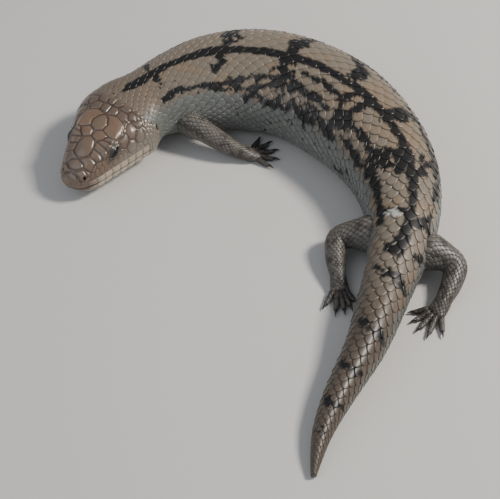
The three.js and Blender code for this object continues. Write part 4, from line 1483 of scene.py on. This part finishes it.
# %% Limb skin and scales
def leg_colour(s, around, jitter, tone):
    """Dark grey-brown with paler undersides. Legs have no markings, so the jitter isn't used."""
    shade = blend(LEG, LEG_DARK, step(-0.3, 0.6, noise(s / 3.0, around / 3.0, 15) + 0.4 * tone))
    shade = blend(shade, GREY, 0.45 * step(6.5, 10, np.abs(around)))
    return shade * (1 + 0.10 * tone)[..., None]


# Painted shade: the edge value darkens the rim and skirt of each limb scale as gap shade.
LEG_PLATE = {"across": 5, "along": 5, "point": 2.2, "lift": 0.95, "dome": 0.20, "swell": 0.12,
             "skirt": 0.8, "edge": 0.45, "ragged": 0.0}
TOE_PLATE = {**LEG_PLATE, "edge": 0.30, "lift": 1.1}
limb_parts = {"points": [], "quads": [], "tint": [], "uv": []}
LIMB_STRIP = 0.03
# Painted shade: the bare skin of the limbs is darkened to this share, as the gaps are shaded.
GAP_SHADE_UNDER_LEG_SCALES = 0.45


def tube_skin(tube, rows, columns, band):
    """Adds a tube's bare skin to the limbs' mesh, with its strip of the map."""
    d = np.repeat(np.linspace(0, tube.length, rows), columns)
    turn = np.tile(np.linspace(0, 2 * math.pi, columns + 1)[:-1], rows)
    swing = np.where(turn > math.pi, turn - 2 * math.pi, turn)
    quads = grid_quads(rows, columns, True)
    uv = np.stack([0.02 + 0.9 * d / 60, band + LIMB_STRIP * turn / (2 * math.pi)], -1)
    corners = uv[quads.ravel()].reshape(-1, 4, 2)
    corners[columns - 1 :: columns, 1:3, 1] = band + LIMB_STRIP
    count = sum(len(points) for points in limb_parts["points"])
    limb_parts["points"].append(tube.place(d, turn, np.zeros(d.shape)))
    # Painted shade of the gaps between the limb scales.
    limb_parts["tint"].append(leg_colour(d, swing * tube.radius(d), 0 * d, 0 * d) * GAP_SHADE_UNDER_LEG_SCALES)
    limb_parts["quads"].append(quads + count)
    limb_parts["uv"].append(corners.reshape(-1, 2))


# %% [markdown]
# ## Rows round a tube
#
# Each ring takes as many scales as fit round it, so they stay whole where the limb gets thinner.
# Every second ring is turned by half a scale.


# %% Rows of limb scales
def tube_roots(tube, first, last, size, shrink, row_step=0.62):
    """Scales in shifted rows round a tube."""
    found = []
    s = first
    row = 0
    while s < last:
        share = (s - first) / (last - first)
        local = size * (1 - share) + shrink * share
        radius = tube.radius(s)
        count = max(5, int(round(2 * math.pi * radius / local)))
        for k in range(count):
            turn = (k + 0.5 * (row % 2)) * 2 * math.pi / count
            turn = turn - 2 * math.pi if turn > math.pi else turn
            found.append([s, turn * radius, local * row_step * 2.5, 2 * math.pi * radius / count * 1.06])
        s += local * row_step
        row += 1
    roots = np.array(found)
    roots[:, 0] -= 0.3 * roots[:, 2]
    return np.column_stack([roots, RNG.uniform(-1, 1, len(roots))])


def limb_uv(along, around):
    """The place of a scale's root on the map of its limb."""
    return 0.1 + 0.012 * along, 0.5 + 0.005 * around


# %% [markdown]
# ## Claws
#
# A claw is a curved cone, a little narrower than high, with its root inside the digit's tip. A
# cone could be bent with a modifier, but rings along an arc take fewer steps and keep the number
# of faces small.

# %% Claws
CLAW_LENGTH = 3.4
CLAW_ROOT = 0.3
claw_parts = {"points": [], "quads": [], "uv": []}


def add_claw(root, way, height):
    """A curved, tapering claw."""
    rings = 9
    sides = 12
    count = sum(len(points) for points in claw_parts["points"])
    points = []
    side = np.array([-way[1], way[0], 0.0])
    for i in range(rings):
        u = i / (rings - 1)
        centre = root + way * (CLAW_LENGTH + CLAW_ROOT) * u
        centre[2] = height + 0.35 * math.sin(math.pi * min(u * 1.2, 1)) - 0.42 * u * u
        radius = 0.88 * (1 - u) ** 0.75 + 0.09
        for k in range(sides):
            turn = 2 * math.pi * k / sides
            offset = side * (0.72 * radius * math.sin(turn))
            points.append(centre + offset + np.array([0, 0, radius * math.cos(turn)]))
    claw_parts["points"].append(np.array(points))
    claw_parts["quads"].append(grid_quads(rings, sides, True)[:, ::-1] + count)
    u, v = np.meshgrid(np.arange(rings) / rings, np.arange(sides) / sides, indexing="ij")
    strip = len(claw_parts["uv"]) + 0.8 * v
    claw_parts["uv"].append(np.stack([0.05 + 0.9 * u.ravel(), 0.05 + 0.045 * strip.ravel()], -1))


# %% [markdown]
# ## Digits
#
# Each digit is thick at its root, swells between its joints, is arched over the floor and ends
# in a claw. The scales of a digit lie in plain rings.

# %% Digits
ROOT_IN_PALM = 4
TAPER = 0.22


def lobed(tube, lobes, depth):
    """Swells a digit between its joints."""
    wave = 1 + depth * np.cos(np.linspace(0, lobes * 2 * math.pi, len(tube.along)))
    tube.wide = tube.wide * wave
    tube.tall = tube.tall * wave


def build_digit(name, base, way, length, thick, band):
    """One digit with its skin, its rings of scales and its claw."""
    total = length + ROOT_IN_PALM
    u = np.linspace(0, 1, 40)
    line = base + way * (total * u)[:, None]
    radius = thick * (1 - TAPER * u)
    line[:, 2] = radius - 0.15 + np.maximum(0, 0.9 * np.sin(math.pi * np.minimum(1, 0.25 + u)))
    radius = radius * np.sqrt(np.clip(1 - np.clip((u - 0.9) / 0.1, 0, 1) ** 2, 0.12, 1))
    digit = Tube(line, radius, radius)
    lobed(digit, 3, 0.06)
    tube_skin(digit, 26, 14, band)
    rings = tube_roots(digit, 2.6, total - 0.5, 1.35, 1.2, 0.7)
    lay_scales(f"{name}_scales", digit.surface, rings, leg_colour, SCALE_HORN, TOE_PLATE, limb_uv)
    add_claw(base + way * (total - 0.35), way, thick * 0.78 + 0.25)


# %% [markdown]
# ## Putting a leg together
#
# The joints are turned from the body's directions into places, the curve runs through them, and
# the palm goes on from the wrist and levels out on the floor. The leg is wider at its root,
# where it grows out of the body, so that no gap shows there.


# %% Lines of leg and palm
def leg_line(root, joints):
    """Places and radii along a leg, from its joints."""
    turn = math.radians(float(smooth(STATIONS, HEADING, np.array(root))))
    origin = np.array([np.interp(root, fine, spine_x), np.interp(root, fine, spine_y)])
    travel = np.array([math.cos(turn), math.sin(turn)])
    left = np.array([travel[1], -travel[0]])
    points = [[*(origin + travel * back + left * out), up] for back, out, up, radius in joints]
    places = curve_through(points)
    ends = np.arange(len(joints)) * PLACES_EACH
    return places, np.interp(np.arange(len(places)), ends, [joint[3] for joint in joints])


def palm_line(start, arriving, facing, wrist, palm, palm_half, palm_tall):
    """Places, half widths and half heights of a palm that goes on from the wrist."""
    u = np.linspace(0, 1, 30)
    places = start + palm * (arriving * (u * (1 - u))[:, None] + facing * (u * u)[:, None])
    places[:, 2] = start[2] + (palm_tall - 0.4 - start[2]) * u**0.7
    close = np.sqrt(np.clip(1 - np.clip((u - 0.80) / 0.2, 0, 1) ** 2, 0.03, 1))
    wide = (wrist + (palm_half * 1.08 - wrist) * u) * close
    tall = (wrist + (palm_tall - wrist) * step(0, 0.8, u)) * close
    return places, wide, tall


# %% [markdown]
# ## One leg
#
# The palm joins the leg's tube at the wrist, without a seam. The digits are spread from its end,
# each with its own direction, and start inside the palm so that their roots don't show.


# %% Building the legs
def build_leg(name, band):
    """A leg and its palm with skin and scales, and its five digits."""
    root, joints, (palm, palm_half, palm_tall, palm_turn), (lengths, thick), spread = LEGS[name]
    places, radii = leg_line(root, joints)
    arriving = places[-1] - places[-6]
    arriving /= np.linalg.norm(arriving)
    swing = math.atan2(arriving[1], arriving[0]) + math.radians(palm_turn)
    facing = np.array([math.cos(swing), math.sin(swing), 0.0])
    foot, wide, tall = palm_line(places[-1], arriving, facing, joints[-1][3], palm, palm_half, palm_tall)
    wide = np.concatenate([radii, wide[1:]])
    tall = np.concatenate([radii, tall[1:]])
    leg = Tube(np.vstack([places, foot[1:]]), wide, tall)
    flare = 1 + 0.25 * (1 - step(0.18 * leg.length, 0.40 * leg.length, leg.along))
    leg.wide = leg.wide * flare
    leg.tall = leg.tall * flare
    tube_skin(leg, 90, 36, band)
    scale = 2.6 if "fore" in name else 2.9
    rings = tube_roots(leg, 0.16 * leg.length, 0.97 * leg.length, scale, scale * 0.58)
    lay_scales(f"{name}_scales", leg.surface, rings, leg_colour, SCALE_HORN, LEG_PLATE, limb_uv)
    across = np.array([-facing[1], facing[0], 0.0])
    for k, (length, way_degrees) in enumerate(zip(lengths, spread)):
        way_turn = math.radians(way_degrees)
        way = facing * math.cos(way_turn) + across * math.sin(way_turn)
        base = foot[-1] - facing * 3.2 + across * palm_half * 0.72 * math.sin(way_turn) * 1.15
        build_digit(f"{name}_digit_{k + 1}", base, way, length, thick, band + 0.037 * (k + 1))


for number, leg_name in enumerate(LEGS):
    build_leg(leg_name, 0.04 + 0.23 * number)

limb_points, limb_quads, limb_tint, limb_map = [np.vstack(part) for part in limb_parts.values()]
limbs = mesh_object("limb_skin", limb_points, limb_quads, limb_tint, limb_map, SCALE_HORN)
claw_points, claw_quads, claw_map = [np.vstack(part) for part in claw_parts.values()]
claw_tint = np.full((len(claw_points), 3), 0.1)
claws = mesh_object("claws", claw_points, claw_quads, claw_tint, claw_map, CLAW_HORN)
print(f"limbs: {len(limbs.data.polygons)} faces, {len(claw_parts['points'])} claws")

# %% [markdown]
# ## Eyes
#
# Dark, wet eyes lie in their sockets and show through the narrow gap between the lids. A plain
# sphere is enough, because the lids cover all but a strip of it.


# %% Eyes
def build_eye(name, hand):
    """A ball as deep under the skin as the solid eye."""
    around = np.array([hand * EYE_AROUND])
    centre = trunk(np.array([EYE_AT]), around, np.array([-EYE_SINK]))[0]
    bpy.ops.mesh.primitive_uv_sphere_add(segments=48, ring_count=24, radius=EYE_RADIUS * MM)
    eye = bpy.context.active_object
    eye.name = name + "_ball"
    eye.location = centre * MM
    bpy.ops.object.transform_apply(location=True)
    bpy.ops.object.shade_smooth()
    eye.data.materials.append(EYE_WET)
    eye.data.uv_layers[0].name = "OFBake"
    eye.select_set(False)
    return eye


eyes = {name: build_eye(name, hand) for name, hand in (("eye_left", 1), ("eye_right", -1))}
print("eyes:", ", ".join(eyes))

# %% [markdown]
# ## Standing for the solids
#
# The solids hold the plain forms. The skin takes the place of head, body and tail, the limbs'
# skin that of the legs, and the eyes and claws those of theirs. The scales only lie on top, so
# they stand for no solid.

# %% Replace the solids
names = list(frame["nodes"])
trunk_names = [n for n in names if not n.startswith(("eye", "foreleg", "hindleg"))]
limb_names = [n for n in names if n.startswith(("foreleg", "hindleg")) and "claw" not in n]
claw_names = [n for n in names if "claw" in n]
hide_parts(*trunk_names)
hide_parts(*limb_names)
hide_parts(*claw_names)
for eye_name, eye in eyes.items():
    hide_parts(eye_name)
for obj in [skin, limbs, claws, *eyes.values(), *scales_made]:
    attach(obj, "root")
print(f"{len(trunk_names)} solids of the trunk, {len(limb_names)} of limbs, {len(claw_names)} claws")

# %% [markdown]
# ## Floor and light
#
# The floor is pale and plain, so that nothing takes the eye from the animal. One soft light from
# the right and a weaker one from the left show the relief of the scales. A small lamp gives
# sharper glints and a large one softer shadows, so the strong light is small and the weak one
# large.

# %% Stage
bpy.ops.mesh.primitive_plane_add(size=6, location=(0, 0, -0.0002))
floor = bpy.context.active_object
floor.name = "floor"
floor.data.materials.append(FLOOR_PAINT)

world = bpy.data.worlds.new("studio")
bpy.context.scene.world = world
world.use_nodes = True
world.node_tree.nodes["Background"].inputs["Color"].default_value = (0.82, 0.88, 1.0, 1)
world.node_tree.nodes["Background"].inputs["Strength"].default_value = 0.35


def direction_turn(aim):
    """The turn that points a lamp along a direction."""
    aim = np.asarray(aim, float) / np.linalg.norm(aim)
    elevation = math.asin(aim[2])
    heading = math.atan2(-aim[0], aim[1])
    return (math.pi / 2 + elevation, 0, heading)


def soft_light(name, place, size, power, tint):
    """A square lamp that shines at the middle of the floor."""
    bpy.ops.object.light_add(type="AREA", location=place)
    light = bpy.context.active_object
    light.name = name
    light.data.size = size
    light.data.energy = power
    light.data.color = tint
    light.rotation_euler = direction_turn(-np.array(place))


soft_light("key light", (0.78, 0.10, 0.85), 0.22, 15.0, (1.0, 0.95, 0.88))
soft_light("fill light", (-0.9, -0.5, 0.8), 1.2, 4.5, (0.9, 0.95, 1.0))

# %% [markdown]
# ## Camera
#
# The camera looks down at the back of the animal, as one does who stands over it. From near, a
# short lens would swell the head, so a long lens is used from seven tenths of a metre away.

# %% Camera
ELEVATION = math.radians(50)
DISTANCE = 0.720
AIM = np.array([SNOUT[0] + 87.55, SNOUT[1] - 33.3, 0]) * MM
camera_data = bpy.data.cameras.new("camera")
camera_data.lens = 108
camera_data.sensor_width = 36
camera = bpy.data.objects.new("camera", camera_data)
bpy.context.collection.objects.link(camera)
camera.location = AIM + np.array([0, -DISTANCE * math.cos(ELEVATION), DISTANCE * math.sin(ELEVATION)])
camera.rotation_euler = (math.pi / 2 - ELEVATION, 0, 0)
bpy.context.scene.camera = camera
print(f"camera at {[round(c, 3) for c in camera.location]} m")
